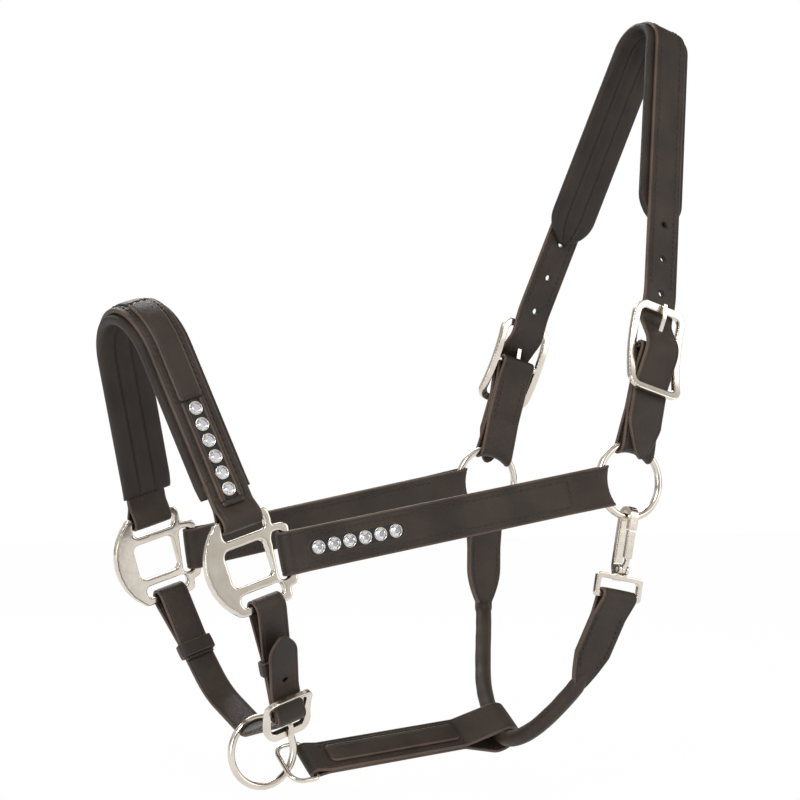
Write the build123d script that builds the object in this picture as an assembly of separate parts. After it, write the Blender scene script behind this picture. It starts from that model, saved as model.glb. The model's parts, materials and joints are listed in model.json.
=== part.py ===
"""Leather headcollar, worn shape.  Millimetres, +Z up, the horse faces -X, its near side is -Y.

The origin is where the crown rests on the poll: the middle of the crown padding's underside.
"""
from build123d import *
import math
import os

# ------------------------------------------------------------------ driving dimensions
# leather
WIDE_STRAP = 25.4          # cheek straps, crown and noseband
CHIN_STRAP = 19.0          # chin straps and chin hanger
GULLET_STRAP = 23.0        # jowl strap between the chin and the throat
LAYER = 2.4                # one thickness of leather
CROWN_THICKNESS = 3.0      # crown strap, two layers sewn and skived
NOSE_THICKNESS = 3.8       # noseband strap, two layers sewn and skived
CHIN_THICKNESS = 2.3       # long chin strap
CHIN_LAYER = 1.7           # one thickness of the chin hanger
KEEPER_LEATHER = 1.5
CROWN_PAD_WIDTH = 34.0
CROWN_PAD_THICKNESS = 5.5
NOSE_PAD_WIDTH = 31.5
NOSE_PAD_THICKNESS = 6.0
OVERLAY_WIDTH = 15.0       # raised strip along the noseband
OVERLAY_THICKNESS = 1.8
FOLD_GAP = 0.45            # air between a metal bar and the leather folded round it
LAY_GAP = 0.3              # air between straps that only lie on each other
THREAD_SLACK = 0.35        # air round what slides or swings

# crown arch, in the head plane that also holds the side rings and the throat
HEAD_TILT = 15.5           # degrees the head plane leans back at the top
HALF_RING_SPAN = 83.0      # from the middle plane to each side ring
CHAPE_LEAN = 2.0           # degrees the crown chapes lean in at the top
CROWN_LEAN = 15.6          # degrees the crown's sides lean in above the buckles
CROWN_BEND_RISE = 36.0     # from the buckle's centre bar up to where the crown leans in more
CROWN_PEAK = 321.0         # top of the crown strap's middle line above the rings' centres
CROWN_PAD_START = 172.0    # height of the padding's ends above the rings' centres
BILLET_LENGTH = 71.0       # crown strap's end, from the centre bar down to its point
HOLE = 4.6                 # punched holes
HOLE_PITCH = 25.0

# side rings, chin ring and dee
SIDE_RING_OUTSIDE = 50.0
CHIN_RING_OUTSIDE = 46.0
RING_WIRE = 4.5
DEE_WIRE = 3.0
DEE_REACH = 18.0           # from the dee's straight bar to the middle of its bow
DEE_SLACK = 1.4            # air between the dee and the chin ring where they cross
DEE_BEND = 8.0             # radius of the dee's two round corners
DEE_AT = 24.0              # degrees below level where the dee meets the chin ring

# noseband arch, in a plane that leans forward at the top and also holds the chin straps
NOSE_TILT = 18.0
NOSE_LEAN = 15.0
NOSE_RISE = 131.0          # from the squares' top bars to the top of the strap's middle line

# squares
SIDE_LEAN = 4.0            # degrees the squares and side rings lean in at the top
SQUARE_FORWARD = 252.0     # from the side ring's centre forward to the square's centre
SQUARE_DROP = 46.0         # and down to it
HALF_SQUARE_SPAN = 66.0    # from the middle plane to each square
SQUARE_THICKNESS = 4.6
SQUARE_ARC_RADIUS = 33.5
SQUARE_BAR = 4.4
TOP_BAR_HEIGHT = 25.2      # centre line of the bar the noseband folds round
SIDE_BAR_REACH = 23.6      # centre line of the bar the cheek strap folds round
BOTTOM_BAR_DROP = 26.2     # centre line of the bar the chin straps fold round
WINDOW_LENGTH = 27.0
WINDOW_HEIGHT = 22.0
SLOT_LENGTH = 28.0
SLOT_WIDTH = 7.6

# crown buckles and chin buckle
CROWN_BUCKLE_LENGTH = 60.0
CROWN_BUCKLE_BOW = 4.5
CROWN_BUCKLE_HEIGHT = 85.0 # centre bar above the side ring's centre
CHIN_BUCKLE_LENGTH = 31.0
CHIN_BUCKLE_BOW = 3.0
BUCKLE_RIM = 5.0
CHIN_BUCKLE_RIM = 4.2
BUCKLE_THICKNESS = 3.4
CENTRE_BAR = 3.6
TONGUE_WIDTH = 3.2
TONGUE_THICKNESS = 2.2
TONGUE_EYE_WALL = 1.3
BUCKLE_SIDE_GAP = 2.6      # air between a strap's edge and the buckle's side
CHIN_BUCKLE_SIDE_GAP = 1.8

# crystals
CRYSTAL = 7.6
CRYSTAL_HEIGHT = 2.2
CRYSTAL_PITCH = 10.0
CRYSTAL_COUNT = 6
CRYSTAL_SLOT_WIDTH = 8.8
CRYSTAL_MARGIN = 6.0       # slot beyond the centre of the last crystal
BACKING = 0.6
NOSE_CRYSTAL_START = 18.0  # first crystal above the square's top bar
CHEEK_CRYSTAL_START = 18.0 # first crystal behind the square's side bar
CHEEK_POCKET = 1.3

# throat: each end hangs in its own plane across the head, sizes from the rings' centres
THROAT_ROLL = 10.6
NEAR_HANG = 2.5            # how far behind the ring's centre line the near end hangs
NEAR_HANG_TILT = 10.7      # degrees it comes forward going down
FAR_HANG_TILT = 2.0
NEAR_EYE = (-84.6, -73.0)  # the snap eye's lower bar
NEAR_ROLL_START = (-62.5, -121.6)
FAR_ROLL_START = (82.6, -77.0)
THROAT_LOW = [(-34.7, -31.0, -157.0), (-41.0, -7.0, -167.0), (-40.5, 8.5, -159.5),
              (-33.0, 35.0, -139.0), (-20.5, 55.5, -119.0), (-9.5, 71.5, -97.0)]
ROLL_START_RUN = 9.0       # the roll runs straight on from its chapes for this far
GULLET_HOLD = 2            # the gullet strap loops round this one of those points
THROAT_TAPER = 14.0        # the chapes narrow to the roll over this length
RING_SHARE = 38.0          # degrees of a ring, each way, kept for one folded strap

# snap hook
SHANK_WIDTH = 6.4
SHANK_THICKNESS = 3.2
HOOK_INSIDE = 3.4          # radius inside the hook's bend
GATE_THICKNESS = 2.6
GATE_WIDTH = 5.6
EYE_WIRE = 3.2
EYE_HEIGHT = 12.0
EYE_SIDE_GAP = 1.6
PIN = 1.8

# chin, drawn in the nose plane: near side first, heights from the squares' centres
CHIN_BAR = (-53.0, -93.0)  # chin buckle's centre bar
CHIN_STRAP_LOW = (0.0, -110.0)
CHIN_STRAP_FAR = (39.0, -88.0)
CHIN_LOOP = 10.4           # inside of the loops over the squares' bottom bars
CHIN_LOOP_CLOSING = 30.0   # the loops close this far below the bars
CHIN_TIP_LENGTH = 52.0     # chin strap's end, from the centre bar up to its point
CHIN_TIP_LIFT = 9.5        # how far that point stands off the hanger
KEEPER_LENGTH = 9.0
CHIN_RING_GAP = 1.2        # air between the chin ring and the strap it hangs in

# gullet strap, from the dee back to the throat
GULLET_TWIST = 41.0        # degrees the strap's width is turned from level
GULLET_LOOP_RADIUS = 9.6
GULLET_LAYER = 2.4

os.makedirs("parts", exist_ok=True)


# ------------------------------------------------------------------ small helpers
def sin(angle):
    return math.sin(math.radians(angle))


def cos(angle):
    return math.cos(math.radians(angle))


def tan(angle):
    return math.tan(math.radians(angle))


def chain(points, radii, offset):
    """Edges of a path of straight runs joined by tangent arcs, moved sideways to its left."""
    edges = []
    run = (Vector(*points[1]) - Vector(*points[0])).normalized()
    start = Vector(*points[0]) + Vector(-run.Y, run.X) * offset
    for index in range(1, len(points) - 1):
        corner = Vector(*points[index])
        ahead = (Vector(*points[index + 1]) - corner).normalized()
        turn = math.atan2(run.X * ahead.Y - run.Y * ahead.X, run.dot(ahead))
        side = 1 if turn > 0 else -1
        radius = radii[index - 1]
        left = Vector(-run.Y, run.X)
        centre = corner - run * (radius * math.tan(abs(turn) / 2)) + left * side * radius
        kept = radius - side * offset
        arc_start = centre - left * side * kept
        arc_end = centre - Vector(-ahead.Y, ahead.X) * side * kept
        arc_middle = centre + (corner - centre).normalized() * kept
        edges.append(Edge.make_line(start, arc_start))
        edges.append(Edge.make_three_point_arc(arc_start, arc_middle, arc_end))
        start = arc_end
        run = ahead
    edges.append(Edge.make_line(start, Vector(*points[-1]) + Vector(-run.Y, run.X) * offset))
    return edges


def ribbon(points, radii, low, high):
    """Flat outline between two offsets of one path, offsets measured to the path's left."""
    under = chain(points, radii, low)
    over = chain(points, radii, high)
    caps = [Edge.make_line(under[0] @ 0, over[0] @ 0), Edge.make_line(under[-1] @ 1, over[-1] @ 1)]
    return make_face(under + over + caps)


def teardrop(radius, length, half):
    """Circle at the origin with straight tangents that close on a tip at +X."""
    angle = math.atan2(half, length) + math.acos(radius / math.hypot(length, half))
    touch = (radius * math.cos(angle), radius * math.sin(angle))
    tip = [(length, half), (length, -half)] if half > 0 else [(length, 0)]
    return Circle(radius) + make_face(Polyline((0, 0), touch, *tip, (touch[0], -touch[1]), close=True))


def fold(bar, layer, closing, half, drop=(0, 0)):
    """Outlines of a strap's end folded round a bar at the origin: the leather and its hollow.

    The strap leaves along +X and is closed, half thick, at the closing length.  A drop moves
    part of the hollow, for a curved wire that leaves the straight fold.
    """
    inner = bar / 2
    outer = inner + layer
    leather = teardrop(outer, closing, half)
    hollow = teardrop(inner, closing * 0.85, 0)
    reach = math.hypot(*drop)
    if reach > 0:
        aim = Rot(0, 0, math.degrees(math.atan2(drop[1], drop[0])))
        leather += Pos(*drop) * Circle(outer) + aim * Pos(reach / 2, 0) * Rectangle(reach, 2 * outer)
        hollow += Pos(*drop) * Circle(inner) + aim * Pos(reach / 2, 0) * Rectangle(reach, 2 * inner)
    return leather, hollow


def aimed(start, towards):
    """Location on a plane that puts the origin at start and +X towards another point."""
    return Pos(*start) * Rot(0, 0, math.degrees(math.atan2(towards[1] - start[1], towards[0] - start[0])))


def through(outline, plane, width):
    """Solid of an outline drawn on a plane, its width centred on that plane."""
    return extrude(plane * outline, amount=width / 2, both=True)


def far_side(shape):
    return mirror(shape, about=Plane.XZ)


def save(name, shape):
    solids = shape.solids()
    whole = solids[0] if len(solids) == 1 else Compound(children=list(solids))
    whole.label = name
    export_step(whole, f"parts/{name}.step")


def save_pair(name, near_shape):
    save(f"near_{name}", near_shape)
    save(f"far_{name}", far_side(near_shape))


def ring_sagitta(ring_radius, width):
    """How far a ring's wire falls away from a straight fold, at the edges of a strap."""
    return ring_radius - math.sqrt(ring_radius ** 2 - (width / 2) ** 2)


def ring_corners(centre, direction, normal):
    """Cutter that keeps a folded strap's inner corners inside its share of a ring."""
    reach = WIDE_STRAP / 2 / tan(RING_SHARE)
    corner = make_face(Polyline((0, 0), (reach, WIDE_STRAP / 2), (reach, 30), (0, 30), close=True))
    plane = Plane(origin=centre, x_dir=direction, z_dir=normal)
    return extrude(plane * (corner + mirror(corner, about=Plane.XZ)), amount=12, both=True)


def pointed_end(tip, inward, outward, across, width, length):
    """Cutter that leaves a strap's end as a blunt gothic point, its tip at the tip."""
    plane = Plane(origin=tip, x_dir=inward, z_dir=outward)
    keep = Polyline((0, 1.6), (length * 0.45, width * 0.36), (length, width / 2 + 0.01),
                    (length, -width / 2 - 0.01), (length * 0.45, -width * 0.36), (0, -1.6), close=True)
    block = Pos(length / 2 - 3, 0) * Rectangle(length + 6, width + 4)
    return extrude(plane * (block - make_face(keep)), amount=9, both=True)


# ------------------------------------------------------------------ reference frames
UP_HEAD = Vector(sin(HEAD_TILT), 0, cos(HEAD_TILT))
ACROSS_HEAD = Vector(cos(HEAD_TILT), 0, -sin(HEAD_TILT))
POLL_ABOVE_RINGS = CROWN_PEAK - CROWN_THICKNESS / 2 - CROWN_PAD_THICKNESS
RINGS_MIDDLE = UP_HEAD * -POLL_ABOVE_RINGS
HEAD_PLANE = Plane(origin=RINGS_MIDDLE, x_dir=(0, 1, 0), z_dir=ACROSS_HEAD)

SIDE_UP = Vector(0, sin(SIDE_LEAN), cos(SIDE_LEAN))
SIDE_OUT = Vector(0, -cos(SIDE_LEAN), sin(SIDE_LEAN))
NEAR_RING_CENTRE = RINGS_MIDDLE + Vector(0, -HALF_RING_SPAN, 0)
NEAR_RING_PLANE = Plane(origin=NEAR_RING_CENTRE, x_dir=(1, 0, 0), z_dir=SIDE_OUT)
RING_RADIUS = (SIDE_RING_OUTSIDE - RING_WIRE) / 2
RING_BORE = RING_WIRE + 2 * FOLD_GAP + 0.3
RING_DROP = ring_sagitta(RING_RADIUS, WIDE_STRAP) + 0.8

SQUARE_CENTRE = Vector(RINGS_MIDDLE.X - SQUARE_FORWARD, -HALF_SQUARE_SPAN, RINGS_MIDDLE.Z - SQUARE_DROP)
UP_NOSE = Vector(-sin(NOSE_TILT), 0, cos(NOSE_TILT))
ACROSS_NOSE = Vector(cos(NOSE_TILT), 0, sin(NOSE_TILT))
NOSE_PLANE = Plane(origin=(SQUARE_CENTRE.X, 0, SQUARE_CENTRE.Z), x_dir=(0, 1, 0), z_dir=ACROSS_NOSE)
SQUARE_ALONG = Vector(1, 0, 0) * cos(NOSE_TILT) + SIDE_UP * sin(NOSE_TILT)
SQUARE_UP = SIDE_UP * cos(NOSE_TILT) - Vector(1, 0, 0) * sin(NOSE_TILT)
SQUARE_PLANE = Plane(origin=SQUARE_CENTRE, x_dir=SQUARE_ALONG, z_dir=SIDE_OUT)
SQUARE_BORE = math.hypot(SQUARE_BAR, SQUARE_THICKNESS) + 2 * FOLD_GAP


def on_nose_plane(point):
    """A point's place on the nose plane: across to the far side, and up the plane."""
    offset = point - NOSE_PLANE.origin
    return offset.Y, offset.dot(UP_NOSE)


TOP_BAR = on_nose_plane(SQUARE_CENTRE + SQUARE_UP * TOP_BAR_HEIGHT)
BOTTOM_BAR = on_nose_plane(SQUARE_CENTRE - SQUARE_UP * BOTTOM_BAR_DROP)


def cheek_frame():
    """Near cheek strap's start, direction, outward face, width direction and length."""
    rise = Vector(SQUARE_FORWARD, 0, SQUARE_DROP).normalized()
    flat_rise = (rise - SIDE_OUT * rise.dot(SIDE_OUT)).normalized()
    start = SQUARE_CENTRE + flat_rise * SIDE_BAR_REACH
    end = NEAR_RING_CENTRE - flat_rise * RING_RADIUS
    along = (end - start).normalized()
    across = along.cross(SIDE_OUT).normalized()
    outward = across.cross(along).normalized()
    return start, along, outward, across, (end - start).length, flat_rise


CHEEK_START, CHEEK_ALONG, CHEEK_OUT, CHEEK_ACROSS, CHEEK_LENGTH, CHEEK_FLAT = cheek_frame()
if CHEEK_OUT.Y > 0:
    CHEEK_OUT = CHEEK_OUT * -1
CHEEK_PLANE = Plane(origin=CHEEK_START, x_dir=CHEEK_ALONG, z_dir=CHEEK_ALONG.cross(CHEEK_OUT))


# ------------------------------------------------------------------ squares and rings
def square_plate():
    """Cast halter square: round front, a window, and a slot and a bar for each strap."""
    lobe = 8 + SQUARE_BAR
    long_lobe = SLOT_LENGTH + 2 * SQUARE_BAR
    turn = math.degrees(math.atan2(CHEEK_FLAT.dot(SIDE_UP), CHEEK_FLAT.X)) - NOSE_TILT
    side = Rot(0, 0, turn) * Pos(SIDE_BAR_REACH + SQUARE_BAR / 2 - lobe / 2, 0)
    top = Pos(0, TOP_BAR_HEIGHT + SQUARE_BAR / 2 - lobe / 2)
    bottom = Pos(-1, -BOTTOM_BAR_DROP - SQUARE_BAR / 2 + lobe / 2)
    height = TOP_BAR_HEIGHT + BOTTOM_BAR_DROP + SQUARE_BAR
    middle = Pos(0, (TOP_BAR_HEIGHT - BOTTOM_BAR_DROP) / 2)
    outline = Pos(3, -1) * Circle(SQUARE_ARC_RADIUS) & middle * Pos(-18, 0) * Rectangle(60, height)
    outline += middle * Pos(-2, 0) * RectangleRounded(WINDOW_LENGTH + 3 * SQUARE_BAR, height - 6, 5)
    outline += side * RectangleRounded(lobe, long_lobe, 4)
    outline += top * RectangleRounded(long_lobe, lobe, 4)
    outline += bottom * RectangleRounded(long_lobe, lobe, 4)
    slot_inset = lobe / 2 - SQUARE_BAR - SLOT_WIDTH / 2
    outline -= Pos(-3.2, -0.6) * RectangleRounded(WINDOW_LENGTH, WINDOW_HEIGHT, 4)
    outline -= side * Pos(slot_inset, 0) * RectangleRounded(SLOT_WIDTH, SLOT_LENGTH, 3)
    outline -= top * Pos(0, slot_inset) * RectangleRounded(SLOT_LENGTH, SLOT_WIDTH, 3)
    outline -= bottom * Pos(0, -slot_inset) * RectangleRounded(SLOT_LENGTH, SLOT_WIDTH, 3)
    return through(outline, SQUARE_PLANE, SQUARE_THICKNESS)


def ring(outside, plane):
    return plane * Torus((outside - RING_WIRE) / 2, RING_WIRE / 2)


save_pair("square", square_plate())
save_pair("side_ring", ring(SIDE_RING_OUTSIDE, NEAR_RING_PLANE))


# ------------------------------------------------------------------ crystals
def crystal_row(plane, start, outer):
    """Six crystals, the slot they stand in and its backing, along a plane's X from a start."""
    length = (CRYSTAL_COUNT - 1) * CRYSTAL_PITCH
    middle = Pos(start + length / 2, 0)
    slot_length = length + 2 * CRYSTAL_MARGIN
    slot = SlotOverall(slot_length, CRYSTAL_SLOT_WIDTH)
    crystals = []
    for index in range(CRYSTAL_COUNT):
        place = plane * Pos(start + index * CRYSTAL_PITCH, 0, outer + BACKING)
        crystals.append(place * Cone(CRYSTAL / 2, CRYSTAL / 4, CRYSTAL_HEIGHT, align=(Align.CENTER, Align.CENTER, Align.MIN)))
    backing = extrude(plane * middle * Pos(0, 0, outer) * slot, amount=BACKING)
    cutter = extrude(plane * middle * Pos(0, 0, outer) * slot, amount=20)
    return Compound(children=crystals), backing, cutter


# ------------------------------------------------------------------ cheek straps
CHEEK_FRONT_FOLD = 11.0    # the folds close this far from the side bar and from the ring's wire
CHEEK_BACK_FOLD = 24.0


def cheek_strap():
    """Strap of two layers folded round the square's side bar and round the side ring."""
    front, front_hollow = fold(SQUARE_BORE, LAYER, CHEEK_FRONT_FOLD, LAYER)
    back, back_hollow = fold(RING_BORE, LAYER, CHEEK_BACK_FOLD, LAYER, drop=(-RING_DROP, 0))
    turned = Pos(CHEEK_LENGTH, 0) * Rot(0, 0, 180)
    body_length = CHEEK_LENGTH - CHEEK_FRONT_FOLD - CHEEK_BACK_FOLD + 3
    body = Pos(CHEEK_FRONT_FOLD - 1, 0) * Rectangle(body_length, 2 * LAYER, align=(Align.MIN, Align.CENTER))
    outline = front + body + turned * back - front_hollow - turned * back_hollow
    corners = ring_corners(NEAR_RING_CENTRE, CHEEK_FLAT * -1, SIDE_OUT)
    return through(outline, CHEEK_PLANE, WIDE_STRAP) - corners


def cheek_set():
    face = Plane(origin=CHEEK_START, x_dir=CHEEK_ALONG, z_dir=CHEEK_OUT)
    crystals, backing, cutter = crystal_row(face, CHEEK_CRYSTAL_START, LAYER - CHEEK_POCKET)
    return cheek_strap() - cutter, crystals, backing


CHEEK, CHEEK_CRYSTALS, CHEEK_BACKING = cheek_set()
save_pair("cheek_strap", CHEEK)
save_pair("cheek_crystals", CHEEK_CRYSTALS)
save_pair("cheek_backing", CHEEK_BACKING)


# ------------------------------------------------------------------ noseband
def arch(start, lean, peak):
    """Corner point and bend radius of an arch whose sides lean in from both sides to a peak."""
    corner = start[1] + abs(start[0]) / tan(lean)
    radius = (corner - peak) / (1 / sin(lean) - 1)
    return (0, corner), radius


NOSE_CORNER, NOSE_RADIUS = arch(TOP_BAR, NOSE_LEAN, TOP_BAR[1] + NOSE_RISE)
NOSE_FOLD = 9.0            # the folds close this far from the squares' bars
NOSE_PAD_START = 16.0


def along_nose(distance):
    """Point on the near side of the noseband's middle line, that far from the top bar."""
    return TOP_BAR[0] + sin(NOSE_LEAN) * distance, TOP_BAR[1] + cos(NOSE_LEAN) * distance


def nose_ribbon(start, low, high):
    near = along_nose(start)
    return ribbon([near, NOSE_CORNER, (-near[0], near[1])], [NOSE_RADIUS], low, high)


def noseband_strap():
    half = NOSE_THICKNESS / 2
    end, hollow = fold(SQUARE_BORE, LAYER, NOSE_FOLD, half)
    near = aimed(TOP_BAR, NOSE_CORNER)
    outline = nose_ribbon(NOSE_FOLD - 1, -half, half) + near * end + mirror(near * end, about=Plane.YZ)
    outline = outline - near * hollow - mirror(near * hollow, about=Plane.YZ)
    return through(outline, NOSE_PLANE, WIDE_STRAP)


def nose_crystal_face():
    near = along_nose(0)
    origin = NOSE_PLANE.origin + Vector(0, near[0], 0) + UP_NOSE * near[1]
    upward = Vector(0, sin(NOSE_LEAN), 0) + UP_NOSE * cos(NOSE_LEAN)
    outward = Vector(0, -cos(NOSE_LEAN), 0) + UP_NOSE * sin(NOSE_LEAN)
    return Plane(origin=origin, x_dir=upward, z_dir=outward)


def noseband():
    half = NOSE_THICKNESS / 2
    overlay = through(nose_ribbon(NOSE_FOLD, half, half + OVERLAY_THICKNESS), NOSE_PLANE, OVERLAY_WIDTH)
    crystals, backing, cutter = crystal_row(nose_crystal_face(), NOSE_CRYSTAL_START, half)
    save("noseband_strap", noseband_strap())
    pad = nose_ribbon(NOSE_PAD_START, -half - NOSE_PAD_THICKNESS, -half)
    save("noseband_padding", through(pad, NOSE_PLANE, NOSE_PAD_WIDTH))
    save("noseband_overlay", overlay - cutter - far_side(cutter))
    save_pair("nose_crystals", crystals)
    save_pair("nose_backing", backing)


noseband()


# ------------------------------------------------------------------ buckles
def buckle(plane, length, width, rim, bow):
    """Centre-bar buckle on a plane whose X points along the strap and Z outwards."""
    corner = rim + 3.5
    outline = RectangleRounded(length, width, corner) - RectangleRounded(length - 2 * rim, width - 2 * rim, corner - rim)
    half = BUCKLE_THICKNESS / 2
    radius = ((length / 2) ** 2 + bow ** 2) / (2 * bow)
    side_plane = Plane(origin=(0, 0, 0), x_dir=(1, 0, 0), z_dir=(0, -1, 0))
    bowed = Pos(0, radius) * (Circle(radius + half) - Circle(radius - half))
    bowed = bowed & Rectangle(length + 4, 4 * bow + 4 * half)
    frame = extrude(outline, amount=20, both=True) & through(bowed, side_plane, width + 4)
    bar = Rot(90, 0, 0) * Cylinder(CENTRE_BAR / 2, width - rim)
    return plane * (frame + bar)


def tongue_path(length, rim, bow):
    """Middle line of a tongue in the buckle's own length and height, from its eye to its tip."""
    rest = bow + BUCKLE_THICKNESS / 2 + LAY_GAP + TONGUE_THICKNESS / 2
    rim_start = length / 2 - rim
    return [(CENTRE_BAR / 2 + 1.4, 0.6), (rim_start - 3, rest), (length / 2 + 0.5, rest)], [8.0]


def tongue(plane, length, rim, bow):
    """Buckle tongue: an eye round the centre bar and an arm that rests on the far rim."""
    points, radii = tongue_path(length, rim, bow)
    half = TONGUE_THICKNESS / 2
    side_plane = Plane(origin=(0, 0, 0), x_dir=(1, 0, 0), z_dir=(0, -1, 0))
    bore = CENTRE_BAR / 2 + THREAD_SLACK
    outline = ribbon(points, radii, -half, half) + Circle(bore + TONGUE_EYE_WALL) - Circle(bore)
    return plane * through(outline, side_plane, TONGUE_WIDTH)


def tongue_slot(plane, length, rim, bow, room):
    """Cutter for the hole that the tongue's arm swings in."""
    points, radii = tongue_path(length, rim, bow)
    half = TONGUE_THICKNESS / 2 + room
    side_plane = Plane(origin=(0, 0, 0), x_dir=(1, 0, 0), z_dir=(0, -1, 0))
    outline = ribbon(points, radii, -half, half + room)
    return plane * through(outline, side_plane, TONGUE_WIDTH + 1.4)


# ------------------------------------------------------------------ crown
CHAPE_UP = (sin(CHAPE_LEAN), cos(CHAPE_LEAN))
CHAPE_OUT = (-cos(CHAPE_LEAN), sin(CHAPE_LEAN))
CHAPE_START = (-HALF_RING_SPAN + sin(SIDE_LEAN) * RING_RADIUS, RING_RADIUS * cos(SIDE_LEAN))
CHAPE_LENGTH = CROWN_BUCKLE_HEIGHT - RING_RADIUS
CHAPE_FOLD = CENTRE_BAR + 2 * FOLD_GAP


def by_bar(along, out):
    """Point of the head plane given along the near chape from the centre bar, and outwards."""
    reach = CHAPE_LENGTH + along
    return (CHAPE_START[0] + CHAPE_UP[0] * reach + CHAPE_OUT[0] * out,
            CHAPE_START[1] + CHAPE_UP[1] * reach + CHAPE_OUT[1] * out)


def head_point(place):
    return RINGS_MIDDLE + Vector(0, place[0], 0) + UP_HEAD * place[1]


def buckle_stack(length, rim, bow, layer, strap):
    """How a buckle sits on its straps: its tip in degrees, and the billet's middle-line heights.

    The rim beside the chape clears the billet that lies on the chape, so the frame tips about
    its centre bar, and the billet comes in behind the other rim.
    """
    half = BUCKLE_THICKNESS / 2
    inner = length / 2 - rim
    inner_bow = bow * (inner / (length / 2)) ** 2
    tip = math.degrees(math.asin((layer + 2 * LAY_GAP + strap + half - inner_bow) / inner))
    lowest = min(inner_bow - inner * sin(tip), bow - length / 2 * sin(tip)) - half
    on_chape = layer + LAY_GAP + strap / 2
    on_bar = CHAPE_FOLD / 2 + layer + LAY_GAP + strap / 2
    behind = lowest - LAY_GAP - strap / 2
    return tip, on_chape, on_bar, behind


def tipped_plane(origin, along, out, tip):
    """A buckle's plane: X along the strap away from the chape, Z outwards, tipped about its bar."""
    return Plane(origin=origin, x_dir=along * cos(tip) - out * sin(tip), z_dir=out * cos(tip) + along * sin(tip))


CROWN_TIP, CROWN_ON_CHAPE, CROWN_ON_BAR, CROWN_BEHIND = buckle_stack(
    CROWN_BUCKLE_LENGTH, BUCKLE_RIM, CROWN_BUCKLE_BOW, LAYER, CROWN_THICKNESS)
CHAPE_UP_3D = Vector(0, CHAPE_UP[0], 0) + UP_HEAD * CHAPE_UP[1]
CHAPE_OUT_3D = Vector(0, CHAPE_OUT[0], 0) + UP_HEAD * CHAPE_OUT[1]
CROWN_BUCKLE_PLANE = tipped_plane(head_point(by_bar(0, 0)), CHAPE_UP_3D, CHAPE_OUT_3D, CROWN_TIP)
CROWN_BUCKLE_WIDTH = WIDE_STRAP + 2 * BUCKLE_SIDE_GAP + 2 * BUCKLE_RIM


def crown_path():
    """Near half of the crown strap's middle line, from its point up to the bend, with radii."""
    over_ring = RING_BORE / 2 + LAYER + LAY_GAP + CROWN_THICKNESS / 2
    rim = CROWN_BUCKLE_LENGTH / 2
    local = [(-BILLET_LENGTH, over_ring + 0.9), (-CHAPE_LENGTH + 16, CROWN_ON_CHAPE + 1.1),
             (-rim + 6.5, CROWN_ON_CHAPE), (3, CROWN_ON_BAR + 3.2), (rim - 10, CROWN_BEHIND),
             (CROWN_BEND_RISE, CROWN_BEHIND)]
    return [by_bar(*place) for place in local], [60, 16, 14, 10]


CROWN_NEAR, CROWN_RADII = crown_path()
CROWN_CORNER, CROWN_RADIUS = arch(CROWN_NEAR[-1], CROWN_LEAN, CROWN_PEAK)


def crown_strap():
    far = [(-place[0], place[1]) for place in reversed(CROWN_NEAR)]
    points = CROWN_NEAR + [CROWN_CORNER] + far
    radii = CROWN_RADII + [50, CROWN_RADIUS, 50] + CROWN_RADII[::-1]
    half = CROWN_THICKNESS / 2
    strap = through(ribbon(points, radii, -half, half), HEAD_PLANE, WIDE_STRAP)
    tip = Vector(0, CROWN_NEAR[1][0] - CROWN_NEAR[0][0], 0) + UP_HEAD * (CROWN_NEAR[1][1] - CROWN_NEAR[0][1])
    inward = tip.normalized()
    outward = inward.cross(ACROSS_HEAD)
    point = pointed_end(head_point(CROWN_NEAR[0]), inward, outward, ACROSS_HEAD, WIDE_STRAP, 18)
    slot = tongue_slot(CROWN_BUCKLE_PLANE, CROWN_BUCKLE_LENGTH, BUCKLE_RIM, CROWN_BUCKLE_BOW, 1.3)
    cutters = [point, slot]
    cutters += [crown_hole(number) for number in range(2)]
    for cutter in cutters:
        strap = strap - cutter - far_side(cutter)
    return strap


def crown_hole(number):
    """Punched hole through the near side of the crown, counted up from above the buckle."""
    start = CROWN_NEAR[-1]
    reach = 8 + number * HOLE_PITCH
    place = (start[0] + sin(CROWN_LEAN) * reach, start[1] + cos(CROWN_LEAN) * reach)
    outward = Vector(0, -cos(CROWN_LEAN), 0) + UP_HEAD * sin(CROWN_LEAN)
    return Plane(origin=head_point(place), z_dir=outward) * Cylinder(HOLE / 2, 16)


def crown_padding():
    half = CROWN_THICKNESS / 2
    start = CROWN_NEAR[-1]
    near = (start[0] + tan(CROWN_LEAN) * (CROWN_PAD_START - start[1]), CROWN_PAD_START)
    points = [near, CROWN_CORNER, (-near[0], near[1])]
    pad = through(ribbon(points, [CROWN_RADIUS], -half - CROWN_PAD_THICKNESS, -half), HEAD_PLANE, CROWN_PAD_WIDTH)
    inward = Vector(0, sin(CROWN_LEAN), 0) + UP_HEAD * cos(CROWN_LEAN)
    point = pointed_end(head_point(near), inward, inward.cross(ACROSS_HEAD), ACROSS_HEAD, CROWN_PAD_WIDTH, 22)
    return pad - point - far_side(point)


def crown_chape():
    """Two layers from the side ring up to the crown buckle's centre bar, slotted for the tongue."""
    low, low_hollow = fold(RING_BORE, LAYER, 22, LAYER, drop=(-RING_DROP, 0))
    high, high_hollow = fold(CHAPE_FOLD, LAYER, 14, LAYER)
    turned = Pos(CHAPE_LENGTH, 0) * Rot(0, 0, 180)
    body = Pos(CHAPE_LENGTH / 2 + 4, 0) * Rectangle(CHAPE_LENGTH - 34, 2 * LAYER)
    outline = low + body + turned * high - low_hollow - turned * high_hollow
    place = aimed(CHAPE_START, by_bar(0, 0))
    chape = through(place * outline, HEAD_PLANE, WIDE_STRAP)
    slot = CROWN_BUCKLE_PLANE * Box(24, TONGUE_WIDTH + 1.6, 24)
    return chape - slot


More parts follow.
